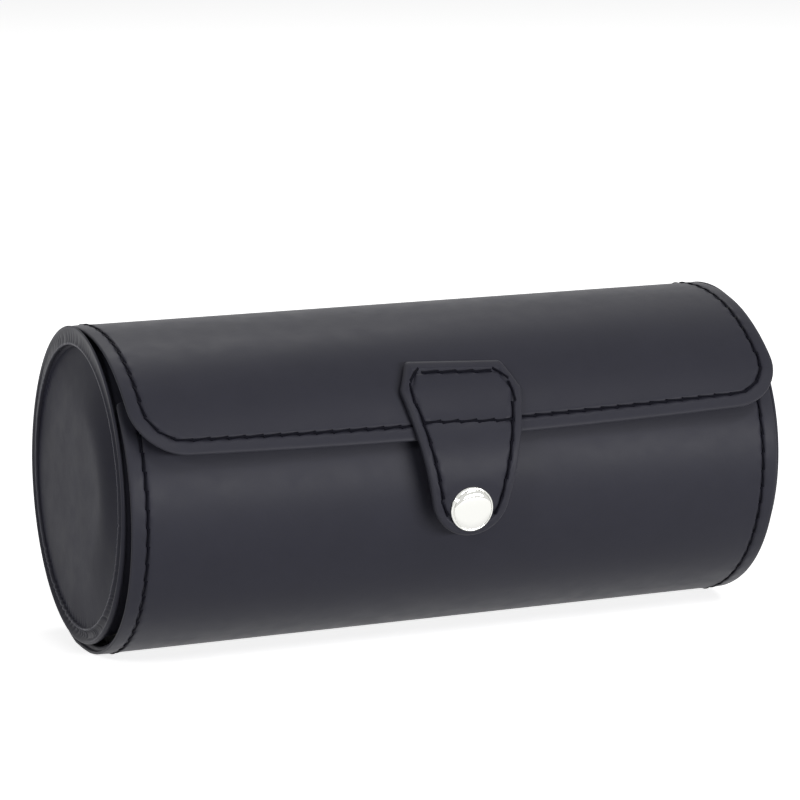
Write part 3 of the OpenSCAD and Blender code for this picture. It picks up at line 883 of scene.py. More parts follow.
def tab_corners(case):
    """The tab seen from the front, in (x, z): a round end, flaring sides and a top with cut corners."""
    tab = case.tab
    snap_z = TabCurve(case).snap.y
    end_z = snap_z - tab.cap_width / 2 - tab.margin + tab.end_radius
    wide = Vector((tab.wide_width / 2, snap_z + tab.shoulder_height - end_z))
    lean = math.acos(tab.end_radius / wide.length) - math.atan2(wide.y, wide.x)
    apex = end_z - tab.end_radius / math.sin(lean)
    shoulder = snap_z + tab.shoulder_height
    top = tab.top_width / 2
    return [
        (0, apex, tab.end_radius, 26),
        (tab.wide_width / 2, shoulder, 1.6 * MM, 5),
        (top, shoulder + tab.top_height, 1.6 * MM, 5),
        (-top, shoulder + tab.top_height, 1.6 * MM, 5),
        (-tab.wide_width / 2, shoulder, 1.6 * MM, 5),
    ]


def level_ring(corners, gap, up):
    """The outline moved in by gap, at a height over the leather."""
    return [Vector((*p, up)) for p in rounded_outline(corners, gap)]


def loft(bm, rings):
    """Joins closed rings of as many points by extruding each into the next, and fills the last."""
    verts = [bm.verts.new(p) for p in rings[0]]
    edges = [bm.edges.new(pair) for pair in zip(verts, verts[1:] + verts[:1])]
    for ring in rings[1:]:
        grown = bmesh.ops.extrude_edge_only(bm, edges=edges)["geom"]
        new = {g for g in grown if isinstance(g, bmesh.types.BMVert)}
        after = [next(e.other_vert(v) for e in v.link_edges if e.other_vert(v) in new) for v in verts]
        for v, p in zip(after, ring):
            v.co = p
        edges = [g for g in grown if isinstance(g, bmesh.types.BMEdge) and set(g.verts) <= new]
        verts = after
    bmesh.ops.contextual_create(bm, geom=edges)


def sliced(bm, way, places):
    """Cuts the whole mesh across at each place, so that it can bend."""
    for place in places:
        bmesh.ops.bisect_plane(bm, geom=whole(bm), dist=1e-7, plane_co=Vector(way) * place, plane_no=way)


def at_the_snap(case, height=0.0):
    """Places a shape drawn up the Z axis on the press stud's own axis."""
    curve = TabCurve(case)
    out = Vector((0, curve.normal.x, curve.normal.y))
    foot = wrap_centre(case) + (WRAP_R + height) * curve.normal
    aside, _ = leaning(case, curve, 0, curve.snap.y)
    spot = Vector((aside, foot.x, foot.y))
    turned = Vector((0, 0, 1)).rotation_difference(out).to_matrix().to_4x4()
    return Matrix.Translation(spot) @ turned


def leaning(case, curve, x, z):
    """Turns a place on the tab, seen from the front, about the middle of its shoulders."""
    high = curve.snap.y + case.tab.shoulder_height
    lean = Matrix.Rotation(-case.tab.lean, 2)
    turned = lean @ Vector((x, z - high))
    return turned.x, turned.y + high


def on_tab(case, curve, x, z, up):
    """A point on the tab, from its place seen from the front; the leather is pressed flat under the cap."""
    tab = case.tab
    from_snap = math.hypot(x, z - curve.snap.y)
    x, z = leaning(case, curve, x, z)
    s = curve.s_at(z)
    out = curve.at(s, up)
    near = 1 - ease((from_snap - 0.5 * tab.cap_width) / (3.5 * MM))
    if near > 0:
        level = (out - curve.snap).dot(curve.normal) - up
        out = out + curve.normal * near * (tab.thick - level)
        if up > -0.6 * tab.thick:
            out = out - curve.normal * near * 0.12 * MM
    return Vector((x, out.x, out.y))


class WATCHCASE_OT_tab_skin(bpy.types.Operator):
    """Cut the closing tab, fold its edge and bend it from the flap down to the snap"""

    bl_idname = "watchcase.tab_skin"
    bl_label = "Tab Leather"

    def execute(self, context):
        case = context.scene.watch_case
        curve, corners, skins = TabCurve(case), tab_corners(case), finishes(case)
        self.outside(case, curve, corners, skins["leather"])
        self.back(case, curve, corners, skins["backing"])
        return {"FINISHED"}

    def outside(self, case, curve, corners, skin):
        """The leather, swelling a little between its seams."""
        seams, tab = case.seams, case.tab
        thick = tab.thick - 0.1 * MM
        profile = edge_profile(thick, seams.tab_edge, seams.tab_edge + 2 * MM, 3 * MM, seams, thick / 2)
        bm = bmesh.new()
        loft(bm, [level_ring(corners, gap, up) for gap, up, _ in reversed(profile)])
        sliced(bm, (0, 1, 0), [z + 0.07 * MM for z in self.levels(bm)])
        column = 1.3 * MM
        wide = math.floor(tab.wide_width / 2 / column)
        sliced(bm, (1, 0, 0), [i * column + 0.09 * MM for i in range(-wide, wide + 1)])
        clean(bm, ((0, corners[1][1] - 10 * MM, 0), (0, 0, 1)))
        fold = bm.verts.layers.float.new("fold")
        cross_z = PIVOT.z + tab.row
        for v in bm.verts:
            x, z, up = v.co
            depth = outline_depth(corners, x, z)
            # the tab's rolled edge gets the folded-edge tone: greyer stretched leather with a faint painted
            # highlight
            v[fold] = 1 - ease((depth - 0.6 * MM) / (1.2 * MM))
            if up > -0.6 * MM:
                puff = ease((depth - seams.tab_edge) / (3 * MM)) * 0.16 * MM
                puff *= 1 - 0.8 * hollow(z - cross_z, 5 * MM)
                up += puff - seams.groove * hollow(z - cross_z, 1.6 * MM) * (depth > seams.tab_edge)
                wave = math.cos(2 * math.pi * (z - cross_z) / seams.pitch)
                up -= seams.pucker * 0.8 * hollow(depth - seams.tab_edge, 3.2 * MM) * wave
            v.co = on_tab(case, curve, x, z, up)
        leather = finished("tab_skin", bm, skin)
        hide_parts("tab_leather", "tab_root", "tab_root_backing")
        bend_at_tab(case, leather)

    def back(self, case, curve, corners, skin):
        """The microfibre behind the part of the tab that hangs free."""
        below = -case.tab.thick - 0.02 * MM
        section = [(0.9 * MM, below + 0.5 * MM), (0.95 * MM, below), (1.2 * MM, below - 0.12 * MM)]
        bm = bmesh.new()
        loft(bm, [level_ring(corners, gap, up) for gap, up in section])
        levels = self.levels(bm)
        top = (0, PIVOT.z - 1.5 * MM, 0)
        bmesh.ops.bisect_plane(
            bm, geom=whole(bm), dist=1e-7, plane_co=top, plane_no=(0, 1, 0), clear_outer=True
        )
        sliced(bm, (0, 1, 0), levels)
        clean(bm, ((0, curve.snap.y + 10 * MM, below), (0, 0, -1)))
        moved(bm, lambda x, z, up: on_tab(case, curve, x, z, up))
        lining = finished("tab_back", bm, skin, "tab")
        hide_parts("tab_backing")

    def levels(self, bm):
        """Heights at which the tab is cut across, 1.2 mm apart, from its foot to its top."""
        row = 1.2 * MM
        heights = [v.co.y for v in bm.verts]
        return [i * row for i in range(round(min(heights) / row), round(max(heights) / row))]


def outline_depth(corners, x, y):
    """How far inside a filleted outline a point lies, corners taken as sharp but for the first."""
    count = len(corners)
    depth = 1.0
    for i in range(count):
        a, b = Vector(corners[i][:2]), Vector(corners[(i + 1) % count][:2])
        way = (b - a).normalized()
        depth = min(depth, (Vector((x, y)) - a).dot(Vector((-way.y, way.x))))
    apex, radius = Vector(corners[0][:2]), corners[0][2]
    side = Vector(corners[1][:2]) - apex
    centre = apex + Vector((0, radius / math.sin(math.atan2(side.x, side.y))))
    if y < centre.y:
        depth = min(depth, radius - math.hypot(x, y - centre.y))
    return depth


def path_along(points):
    """A function that gives the point at a distance along a line of points, and its length."""
    spans = [(b - a).length for a, b in zip(points, points[1:])]

    def at(t):
        for a, b, span in zip(points, points[1:], spans):
            if t <= span or b is points[-1]:
                return a.lerp(b, t / span)
            t -= span

    return at, sum(spans)


def panel_seam(half, corner, front, back, seam):
    """Half of a panel's seam in pattern space: along the front, round the corner and down the side."""
    arc = corner - seam
    flat = half - corner
    total = flat + arc * math.pi / 2 + (front - corner - back)

    def at(t):
        if t < flat:
            return Vector((t, front - seam))
        t -= flat
        if t < arc * math.pi / 2:
            a = t / arc
            return Vector((flat + arc * math.sin(a), front - corner + arc * math.cos(a)))
        return Vector((half - seam, front - corner - (t - arc * math.pi / 2)))

    return at, total


class WATCHCASE_OT_stitches(bpy.types.Operator):
    """Sew the flap, the wrap and the tab"""

    bl_idname = "watchcase.stitches"
    bl_label = "Stitches"

    def execute(self, context):
        case = context.scene.watch_case
        thread = finishes(case)["thread"]
        self.sew_flap(case, thread)
        self.sew_wrap(case, thread)
        self.sew_tab(case, thread)
        return {"FINISHED"}

    def sew_flap(self, case, thread):
        """The seam along the flap's front, round its corners and down the back of the wrap."""
        shape, seams = case.shape, case.seams
        front = shape.front_length
        at, total = panel_seam(flap_half(), shape.flap_corner, front, back_end(case), seams.flap_edge)
        bm = laid_stitches(seams, at, total, STITCH_LIFT)
        # the flap's seam shows on its inside too, as far as the hinge
        shown = front - hinge_along(case) + FLAP_X - 22 * MM
        joined(bm, laid_stitches(seams, at, shown, -shape.flap_thick + STITCH_LIFT))
        mirrored(bm)
        drop_islands(bm, lambda c: abs(c.x) < 12 * MM and c.z > -1 * MM)
        moved(bm, lambda x, s, up: on_flap(case, set_over(case, x, s), s, up))
        drop_islands(bm, lambda c: c.z < 0.7 * MM)
        sewn = finished("flap_back_stitches", bm, thread)
        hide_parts("flap_thread")
        bend_at_hinge(sewn)

    def sew_wrap(self, case, thread):
        """The seam along the mouth's front and down both ends of the wrap."""
        seams = case.seams
        at, total = panel_seam(WRAP_X, case.shape.wrap_corner, 0, -wrap_down(case), seams.wrap_edge)
        bm = laid_stitches(seams, at, total, STITCH_LIFT)
        mirrored(bm)
        moved(bm, lambda x, y, up: from_wrap_pattern(case, x, y, up))
        drop_islands(bm, lambda c: c.z < 0.7 * MM)
        sewn = finished("wrap_front_stitches", bm, thread, "case")
        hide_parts("wrap_thread")

    def sew_tab(self, case, thread):
        """The tab's seam all round, and the cross seam that holds it on the flap."""
        seams, tab = case.seams, case.tab
        curve = TabCurve(case)
        seam = rounded_outline(tab_corners(case), seams.tab_edge, 0.6 * MM)
        top = max(range(len(seam)), key=lambda i: (round(seam[i].y, 6), -abs(seam[i].x)))
        seam = seam[top:] + seam[: top + 1]
        bm = laid_stitches(seams, *path_along(seam), STITCH_LIFT)
        cross_z = PIVOT.z + tab.row
        reach = max(p.x for p in seam if abs(p.y - cross_z) < 2 * MM) - 0.4 * MM
        across = path_along([Vector((-reach, cross_z)), Vector((reach, cross_z))])
        joined(bm, laid_stitches(seams, *across, STITCH_LIFT + 0.05 * MM))
        under_cap = tab.cap_width / 2 + 0.5 * MM
        drop_islands(bm, lambda c: math.hypot(c.x, c.y - curve.snap.y) < under_cap)
        moved(bm, lambda x, z, up: on_tab(case, curve, x, z, up))
        bmesh.ops.recalc_face_normals(bm, faces=bm.faces)
        sewn = finished("tab_stitches", bm, thread)
        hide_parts("tab_thread", "tab_root_thread")
        bend_at_tab(case, sewn)


def drop_islands(bm, unwanted):
    """Deletes each loose part whose middle is unwanted, and turns the rest outwards."""
    seen, gone = set(), []
    for first in bm.verts:
        if first in seen:
            continue
        found = [first]
        seen.add(first)
        for v in found:
            beside = [e.other_vert(v) for e in v.link_edges]
            found += [w for w in beside if w not in seen]
            seen.update(beside)
        if unwanted(sum((v.co for v in found), Vector()) / len(found)):
            gone += found
    bmesh.ops.delete(bm, geom=gone, context="VERTS")
    bmesh.ops.recalc_face_normals(bm, faces=bm.faces)


def turned_about_drum(section, steps, sweep=(0, 360)):
    """Turns an (x, r) section about the drum's axis, between two angles round the drum."""
    bm = bmesh.new()
    a, b = (math.radians(t) for t in sweep)
    start = direction(a)
    edges = row_of(bm, [Vector((x, r * start.x, AXIS_Z + r * start.y)) for x, r in section])
    turn(bm, edges, (0, 0, AXIS_Z), (-1, 0, 0), b - a, steps)
    bmesh.ops.remove_doubles(bm, verts=bm.verts, dist=1e-6)
    return bm


def gathered(shape, side, v, inner):
    """Gathers the leather beside the end panel: uneven pleats that die out towards the lip."""
    y, z = v.co.y, v.co.z - AXIS_Z
    r, angle = math.hypot(y, z), math.atan2(z, y)
    if r < inner - 2.6 * MM or abs(v.co.x) < LIP_X - 1.5 * MM:
        return
    round_way = Vector((math.cos(angle), math.sin(angle), side * 2.0))
    wave = math.sin(angle * shape.pleats / 2 + 6 * noise.noise(round_way * 4))
    crease = (1 - abs(wave)) ** 1.5
    fade = ease((r - inner + 2.6 * MM) / (2 * MM)) * (1 - ease((r - inner - 1.8 * MM) / (1.9 * MM)))
    # strongest at the top and towards the back, where most leather is left over
    strength = 0.1 + 0.9 * math.sin(angle) ** 2 * ease(0.6 + y / r) * (0.7 + 0.3 * z / r)
    strength += 0.6 * noise.noise(round_way * 9)
    v.co.x -= side * shape.pleat_depth * crease * fade * strength


def drawn_round(shape, v, inner):
    """Pulls the left ring in round its outside, most at the front, where the flap presses on it."""
    y, z = v.co.y, v.co.z - AXIS_Z
    r = math.hypot(y, z)
    front, top = max(-y / r, 0), max(z / r, 0)
    tight = shape.ring_tight + (1.3 * front**2 - 0.7 * top**3 + 0.9 * max(y / r, 0) * top) * MM
    out = ease((r - inner + 0.6 * MM) / (4 * MM)) * ease((abs(v.co.x) - LIP_X + 1.5 * MM) / (0.3 * MM))
    pulled = max(r - tight * out, min(r, TUBE_R + 0.1 * MM))
    v.co.y *= pulled / r
    v.co.z = AXIS_Z + z * pulled / r


class WATCHCASE_OT_ends(bpy.types.Operator):
    """Turn the leather over both ends of the drum, gather it and draw the end panels in"""

    bl_idname = "watchcase.ends"
    bl_label = "Ends"

    def execute(self, context):
        case = context.scene.watch_case
        shape, skins = case.shape, finishes(case)
        for side, name in ((-1, "left"), (1, "right")):
            lean = (side < 0) * Vector((0, -shape.lean_front, -shape.lean_down))
            self.rim(shape, side, name, lean, skins["gathered"])
            self.panel(shape, side, name, lean, skins["panel"])
        return {"FINISHED"}

    def rim(self, shape, side, name, lean, skin):
        """The leather turned over the lip, with two crests and the gathers inside them."""
        # (out along the drum from the lip, out from the end panel) in mm: wall, inner crest,
        # the face between the crests, outer crest, the lip's outside, its back and the tube
        drawn = [
            (-1.9, -0.36), (-0.6, -0.34), (-0.25, -0.26), (-0.04, -0.1), (0, 0.1), (-0.14, 0.32),
            (-0.45, 0.6), (-0.66, 1.0), (-0.78, 1.5), (-0.8, 2.1), (-0.74, 2.7), (-0.6, 3.2),
            (-0.34, 3.6), (-0.2, 3.9), (-0.16, 4.12), (-0.22, 4.32), (-0.4, 4.5), (-0.7, 4.6),
            (-1.0, 4.56), (-1.16, 4.4), (-1.22, 4.0), (-1.26, 3.3), (-1.32, 2.42), (-2.4, 2.36), (-5.3, 2.36),
        ]
        section = [(side * (LIP_X + x * MM), COVER_R + r * MM) for x, r in drawn]
        bm = turned_about_drum(section, shape.pleats * 8)
        clean(bm, ((side * LIP_X, 0, AXIS_Z + 40 * MM), (side, 0, 0)))
        fold = bm.verts.layers.float.new("fold")
        base = LIP_X - 1.2 * MM
        for v in bm.verts:
            gathered(shape, side, v, COVER_R)
            r = (v.co - Vector((v.co.x, 0, AXIS_Z))).length - COVER_R
            proud = (abs(v.co.x) - base) / (LIP_X - base)
            if proud > 0:
                # painted highlight: the inner crest, and the outer crest at a third, take the light crest
                # tone
                v[fold] = max(hollow(r, 0.8 * MM), 0.3 * hollow(r - 4.1 * MM, 0.7 * MM))
                v.co.x += side * proud * lean.dot(v.co - Vector((0, 0, AXIS_Z)))
            if side < 0:
                drawn_round(shape, v, COVER_R)
        rim = finished(f"{name}_rim_skin", bm, skin, "case")
        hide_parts(f"{name}_rim_band")

    def panel(self, shape, side, name, lean, skin):
        """The end panel over its board, drawn in most at the upper front."""
        edge = COVER_R - 0.34 * MM
        back, deepest = LIP_X - 5.1 * MM, Vector((0, -0.8, 0.6))
        section = [
            (back, 0), (back, edge - 1 * MM), (back, edge), (LIP_X - 1.9 * MM, edge),
            (LIP_X - 0.8 * MM, edge), (LIP_X - 0.66 * MM, edge - 0.1 * MM),
        ]
        for i in range(1, 31):
            r = edge * (1 - (i / 30) ** 1.3)
            section.append((LIP_X - 0.62 * MM - 0.4 * MM * (1 - (r / edge) ** 5), r))
        bm = turned_about_drum([(x * side, r) for x, r in section], shape.pleats * 6)
        clean(bm, ((side * COVER_X, 0, AXIS_Z + 20 * MM), (side, 0, 0)))
        for v in bm.verts:
            if abs(v.co.x) < LIP_X - 3 * MM:
                continue
            dent = noise.noise(v.co / (14 * MM) + Vector((side * 5.0, 0, 0)))
            at = v.co - Vector((side * LIP_X, 0, AXIS_Z))
            if abs(at.x) < 1.2 * MM and at.yz.length < edge - 0.05 * MM:
                way = (0.5 + 0.5 * deepest.dot(at) / max(at.yz.length, MM)) ** 2 + 0.05
                v.co.x -= side * shape.dish * way * ease((at.yz.length - 18 * MM) / (17 * MM))
            gathered(shape, side, v, COVER_R)
            v.co.x += side * (lean.dot(v.co - Vector((0, 0, AXIS_Z))) + 0.12 * MM * dent)
            # the face never reaches the board's back
            v.co.x = side * max(abs(v.co.x), back + 0.2 * MM)
        panel = finished(f"{name}_end_panel", bm, skin, "case")
        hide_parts(f"{name}_end_cover", f"{name}_end_board")


def smooth_line(points, step):
    """A Catmull-Rom line through the points, with stations no wider apart than step."""
    line = []
    guard = [2 * points[0] - points[1], *points, 2 * points[-1] - points[-2]]
    for a, b, c, d in zip(guard, guard[1:], guard[2:], guard[3:]):
        count = max(1, math.ceil((c - b).length / step))
        for i in range(count):
            t = i / count
            bends = (2 * a - 5 * b + 4 * c - d) * t * t + (3 * b - a - 3 * c + d) * t ** 3
            line.append(0.5 * (2 * b + (c - a) * t + bends))
    return line + [points[-1]]


def about_drum(r, angle):
    """(y, z) at a radius in metres and an angle in degrees round the drum."""
    out = direction(math.radians(angle)) * r
    return Vector((out.x, AXIS_Z + out.y))


def turned_skin(name, section, steps, near, way, skin, sweep=(0, 360)):
    """A skin of the case turned about the drum, whose face nearest a point faces the way given."""
    bm = turned_about_drum(section, steps, sweep)
    clean(bm, (near, way))
    return finished(name, bm, skin, "case")


class WATCHCASE_OT_lining(bpy.types.Operator):
    """Line the trough, the flap, the ends and the dividers, and face the mouth's edges"""

    bl_idname = "watchcase.lining"
    bl_label = "Lining"

    def execute(self, context):
        case = context.scene.watch_case
        skins = finishes(case)
        mouth = math.degrees(case.shape.mouth_angle)
        hinge_angle = math.degrees(math.atan2(HINGE.z - AXIS_Z, -HINGE.y))
        self.flap_velour(case, skins["velour"], hinge_angle)

        # the trough, from under the mouth's facing round to the flap's velour
        across = [CELL_X * (i / 24 - 1) for i in range(49)]
        bottom = (0, 0, AXIS_Z - LINING_R)
        trough = turned_skin(
            "trough_velour", [(x, LINING_R) for x in across], 120, bottom, (0, 0, 1), skins["velour"],
            (hinge_angle - 360 + 2, mouth - 2.5),
        )
        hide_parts("trough_lining")
        self.mouth_facing(skins["leather"], mouth)
        for side, name in ((-1, "left"), (1, "right")):
            self.band_facing(side, name, skins["leather"], (mouth - 2, hinge_angle + 2))
            self.cell_wall(side, name, skins["velour"])
            self.divider(name, skins["velour"])
        return {"FINISHED"}

    def flap_velour(self, case, skin, hinge_angle):
        """The flap's velour, which runs over the hinge and down the trough's back edge."""
        shape, turned = case.shape, case.inside.margin - 0.6 * MM
        half, front, corner = flap_half() - turned, shape.front_length - turned, shape.flap_corner - turned
        deep = -shape.flap_thick - 0.05 * MM
        start = hinge_along(case) + 2.4 * MM
        r = LINING_R - 0.1 * MM
        meets = Vector(on_flap(case, 0, start, deep).yz)
        ahead = Vector(on_flap(case, 0, start + 2 * MM, deep).yz) - meets
        path = [
            about_drum(r, hinge_angle + 9), about_drum(r, hinge_angle + 5),
            about_drum(r - 0.1 * MM, hinge_angle + 2), about_drum(r - 0.2 * MM, hinge_angle + 0.4),
            about_drum(r + 0.1 * MM, hinge_angle - 0.5), about_drum(r + 0.6 * MM, hinge_angle - 0.85),
            about_drum(r + 1.4 * MM, hinge_angle - 0.95),
            meets - 0.9 * MM * ahead.normalized() + Vector((0.1 * MM, -0.1 * MM)), meets,
        ]
        follow, total = path_along(list(reversed(smooth_line(path, 0.7 * MM))))
        profile = [
            (corner, deep, 0), (1.4 * MM, deep, 0), (0.7 * MM, deep - 0.02 * MM, 0),
            (0.3 * MM, deep + 0.06 * MM, 0), (0.08 * MM, deep + 0.22 * MM, 0), (0, deep + 0.5 * MM, 0),
        ]
        bm = half_panel(profile, half, corner, front, start - total, 2.4 * MM)
        sliced(bm, (0, 1, 0), [start - 0.7 * MM * i for i in range(1, math.ceil(total / (0.7 * MM)))])
        mirrored(bm)
        clean(bm, ((0, 0, deep), (0, 0, -1)))

        def laid(x, s, up):
            if s >= start:
                return on_flap(case, x + shape.flap_shift * ease(s / (30 * MM)), s, up)
            return Vector((x, *follow(start - s)))

        moved(bm, laid)
        cloth = finished("flap_velour", bm, skin)
        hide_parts("flap_lining")
        bend_at_hinge(cloth)

    def mouth_facing(self, skin, mouth):
        """Leather turned over the mouth's front edge."""
        section = [
            about_drum(WRAP_R - 2.6 * MM, mouth - 0.4), about_drum(WRAP_R - 2.9 * MM, mouth + 0.9),
            about_drum(TUBE_R - 0.4 * MM, mouth + 1.1), about_drum(LINING_R + 0.6 * MM, mouth + 1.0),
            about_drum(LINING_R - 0.15 * MM, mouth + 0.5), about_drum(LINING_R - 0.4 * MM, mouth - 1.0),
            about_drum(LINING_R - 0.3 * MM, mouth - 4), about_drum(LINING_R - 0.25 * MM, mouth - 7.5),
            about_drum(LINING_R + 0.1 * MM, mouth - 7.8),
        ]
        half = TUBE_X - 4.3 * MM
        bm = bmesh.new()
        edges = row_of(bm, [Vector((-half, *p)) for p in smooth_line(section, 0.5 * MM)])
        for _ in range(40):
            edges = pull(bm, edges, (half / 20, 0, 0))
        clean(bm, ((0, *about_drum(TUBE_R, mouth + 1.1)), (0, *direction(math.radians(mouth + 90)))))
        finished("mouth_facing", bm, skin, "case")

    def band_facing(self, side, name, skin, sweep):
        """Leather over the tube's end band, across the mouth."""
        inner = TUBE_X - 4.2 * MM - 0.15 * MM
        band = [
            (inner + 0.4 * MM, LINING_R + 0.3 * MM), (inner + 0.1 * MM, LINING_R + 0.45 * MM),
            (inner, LINING_R + 0.8 * MM), (inner, TUBE_R - 0.2 * MM), (inner + 0.08 * MM, TUBE_R),
            (inner + 0.3 * MM, TUBE_R + 0.07 * MM), (inner + 1.5 * MM, TUBE_R + 0.07 * MM),
        ]
        section = [(x * side, r) for x, r in band]
        near = (side * inner, 0, AXIS_Z + TUBE_R - 1 * MM)
        turned_skin(f"{name}_band_facing", section, 90, near, (-side, 0, 0), skin, sweep)

    def cell_wall(self, side, name, skin):
        """Velour over the inside of an end, turned under the trough's."""
        face = [(CELL_X - 0.02 * MM, LINING_R * k / 12) for k in range(12)]
        face += [(CELL_X, LINING_R - 0.5 * MM), (CELL_X + 0.3 * MM, LINING_R + 0.3 * MM)]
        section = [(x * side, r) for x, r in face]
        near = (side * CELL_X, 0, AXIS_Z + 20 * MM)
        cloth = turned_skin(f"{name}_end_velour", section, 120, near, (-side, 0, 0), skin)
        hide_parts(f"{name}_end_lining")

    def divider(self, name, skin):
        """Velour over both faces of a divider and round its edge."""
        middle, half = middle_and_half(f"{name}_divider_cover")
        x, thick, top = middle.x, half.x, half.z
        upwards = [top * k / 12 for k in range(12)]
        turns = [math.radians(t) for t in range(0, 181, 15)]
        section = [(x - thick, r) for r in upwards]
        section += [(x - thick * math.cos(a), top - thick + thick * math.sin(a)) for a in turns]
        section += [(x + thick, r) for r in reversed(upwards)]
        near = (x + thick, 0, AXIS_Z + 20 * MM)
        cloth = turned_skin(f"{name}_divider_velour", section, 120, near, (1, 0, 0), skin)
        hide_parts(f"{name}_divider_cover")


class WATCHCASE_OT_pillows(bpy.types.Operator):
    """Sew the three watch pillows, fill them and let the cloth settle"""

    bl_idname = "watchcase.pillows"
    bl_label = "Pillows"

    def execute(self, context):
        for name in ("left", "middle", "right"):
            self.fill(context, name)
        return {"FINISHED"}

    def fill(self, context, name):
        """One pillow: a sewn shape with soft ends, settled and pinched along its two seams."""
        case = context.scene.watch_case
        middle, size = middle_and_half(f"{name}_pillow_cover")
        size -= Vector((1, 1, 1)) * case.inside.cloth_cap * 0.8
        edge = case.inside.pillow_edge
        bm = bmesh.new()
        ring, edges = circle(bm, 48, 1)
        # (along the pillow, how much of the soft edge is taken off), from the left end to the middle
        stations = [(-1.0, 1.0), (-0.93, 0.42), (-0.75, 0.1), (-0.4, 0.0), (0, -0.01)]
        stations += [(-t, inset) for t, inset in reversed(stations[:-1])]
        spots = [(t * size.x, 1 - inset * edge / size.z) for t, inset in stations]
        bmesh.ops.scale(bm, verts=ring, vec=(1, size.y * spots[0][1], size.z * spots[0][1]))
        bmesh.ops.translate(bm, verts=ring, vec=(spots[0][0], 0, 0))
        bmesh.ops.contextual_create(bm, geom=edges)
        for (x0, k0), (x1, k1) in zip(spots, spots[1:]):
            edges = pull(bm, edges, (x1 - x0, 0, 0))
            bmesh.ops.scale(bm, verts=ends_of(edges), vec=(1, k1 / k0, k1 / k0))
        bmesh.ops.contextual_create(bm, geom=edges)
        bmesh.ops.translate(bm, verts=bm.verts, vec=middle)
        bmesh.ops.recalc_face_normals(bm, faces=bm.faces)
        pillow = finished(f"{name}_pillow", bm, finishes(case)["velour"])
        self.settle(context, case, pillow)
        mesh = pillow.data
        seam_x = size.x - edge * 0.35
        for v in mesh.vertices:
            x = v.co.x - middle.x
            out = Vector((0, v.co.y - middle.y, v.co.z - middle.z))
            if out.length > 8 * MM:
                v.co -= out.normalized() * 0.7 * MM * hollow(abs(x) - seam_x, 5 * MM)
        mesh.polygons.foreach_set("use_smooth", [True] * len(mesh.polygons))
        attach(pillow, f"{name}_pillow")
        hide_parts(f"{name}_pillow_cover", f"{name}_pillow_foam")

    def settle(self, context, case, pillow):
        """Remeshes the sewn shape, lets cloth swell round its filling and keeps it inside its cell."""
        inside, scene = case.inside, context.scene
        context.view_layer.objects.active = pillow
        remesh = pillow.modifiers.new("Even cloth", "REMESH")
        remesh.mode, remesh.voxel_size = "VOXEL", 4 * MM
        apply_all(context, pillow)
        before = [v.co.copy() for v in pillow.data.vertices]
        cloth = pillow.modifiers.new("Cloth", "CLOTH")
        cloth.settings.use_pressure = True
        cloth.settings.uniform_pressure_force = 4
        cloth.settings.effector_weights.gravity = 0
        cloth.point_cache.frame_start, cloth.point_cache.frame_end = 1, inside.cloth_frames
        for i in range(1, inside.cloth_frames + 1):
            scene.frame_set(i)
        apply_all(context, pillow)
        scene.frame_set(1)
        for v, rest in zip(pillow.data.vertices, before):
            swell = v.co - rest
            if swell.length > inside.cloth_cap:
                v.co = rest + swell.normalized() * inside.cloth_cap
        finer = pillow.modifiers.new("Finer", "SUBSURF")
        finer.levels = finer.render_levels = 2
        apply_all(context, pillow)


def apply_all(context, piece):
    """Keeps the mesh that the modifiers give, and removes them."""
    graph = context.evaluated_depsgraph_get()
    graph.update()
    done = bpy.data.meshes.new_from_object(piece.evaluated_get(graph))
    piece.modifiers.clear()
    old, piece.data = piece.data, done
    bpy.data.meshes.remove(old)


class WATCHCASE_OT_snap(bpy.types.Operator):
    """Press the snap's cap, and finish its stud, socket and spring"""

    bl_idname = "watchcase.snap"
    bl_label = "Press Stud"

    def execute(self, context):
        case = context.scene.watch_case
        tab = case.tab
        skins = finishes(case)
        r, h = tab.cap_width / 2, tab.cap_height
        rim = 0.55 * MM
        dome_r = r - 0.72 * MM
        foot = rim * 0.75
        post_r, clinch_r, under = 1.5 * MM, 2.2 * MM, -tab.thick
        turns = [math.radians(t) for t in range(0, 88, 4)]
        section = [(dome_r * math.sin(a), foot + (h - foot) * math.cos(a) ** 0.75) for a in turns]
        section += [
            (dome_r + 0.04 * MM, rim * 0.66), (r - 0.6 * MM, rim * 0.86), (r - 0.5 * MM, rim * 0.98),
            (r - 0.4 * MM, rim), (r - 0.3 * MM, rim * 0.92), (r - 0.2 * MM, rim * 0.66),
            (r - 0.08 * MM, rim * 0.28), (r, 0.02 * MM), (r - 0.25 * MM, 0), (post_r, 0),
            (post_r, under - 0.55 * MM), (clinch_r, under - 0.6 * MM), (clinch_r, under - 0.9 * MM),
            (0, under - 0.9 * MM),
        ]
        bm = bmesh.new()
        edges = row_of(bm, [Vector((x, 0, z)) for x, z in section])
        turn(bm, edges, (0, 0, 0), (0, 0, 1), math.tau, 96)
        clean(bm, ((0, 0, h), (0, 0, 1)))
        on_the_tab = at_the_snap(case, tab.snap_gap + tab.thick + 0.05 * MM)
        bmesh.ops.transform(bm, matrix=on_the_tab, verts=bm.verts)
        cap = finished("snap_cap_dome", bm, skins["cap"], "tab")
        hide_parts("snap_cap")
        for node in ("stud", "stud_rivet", "snap_socket", "snap_spring"):
            dress(frame["nodes"][node], skins["metal"])
        return {"FINISHED"}


def dress(piece, material):
    """Gives a board or a fitting its finish."""
    piece.data.materials.clear()
    piece.data.materials.append(material)


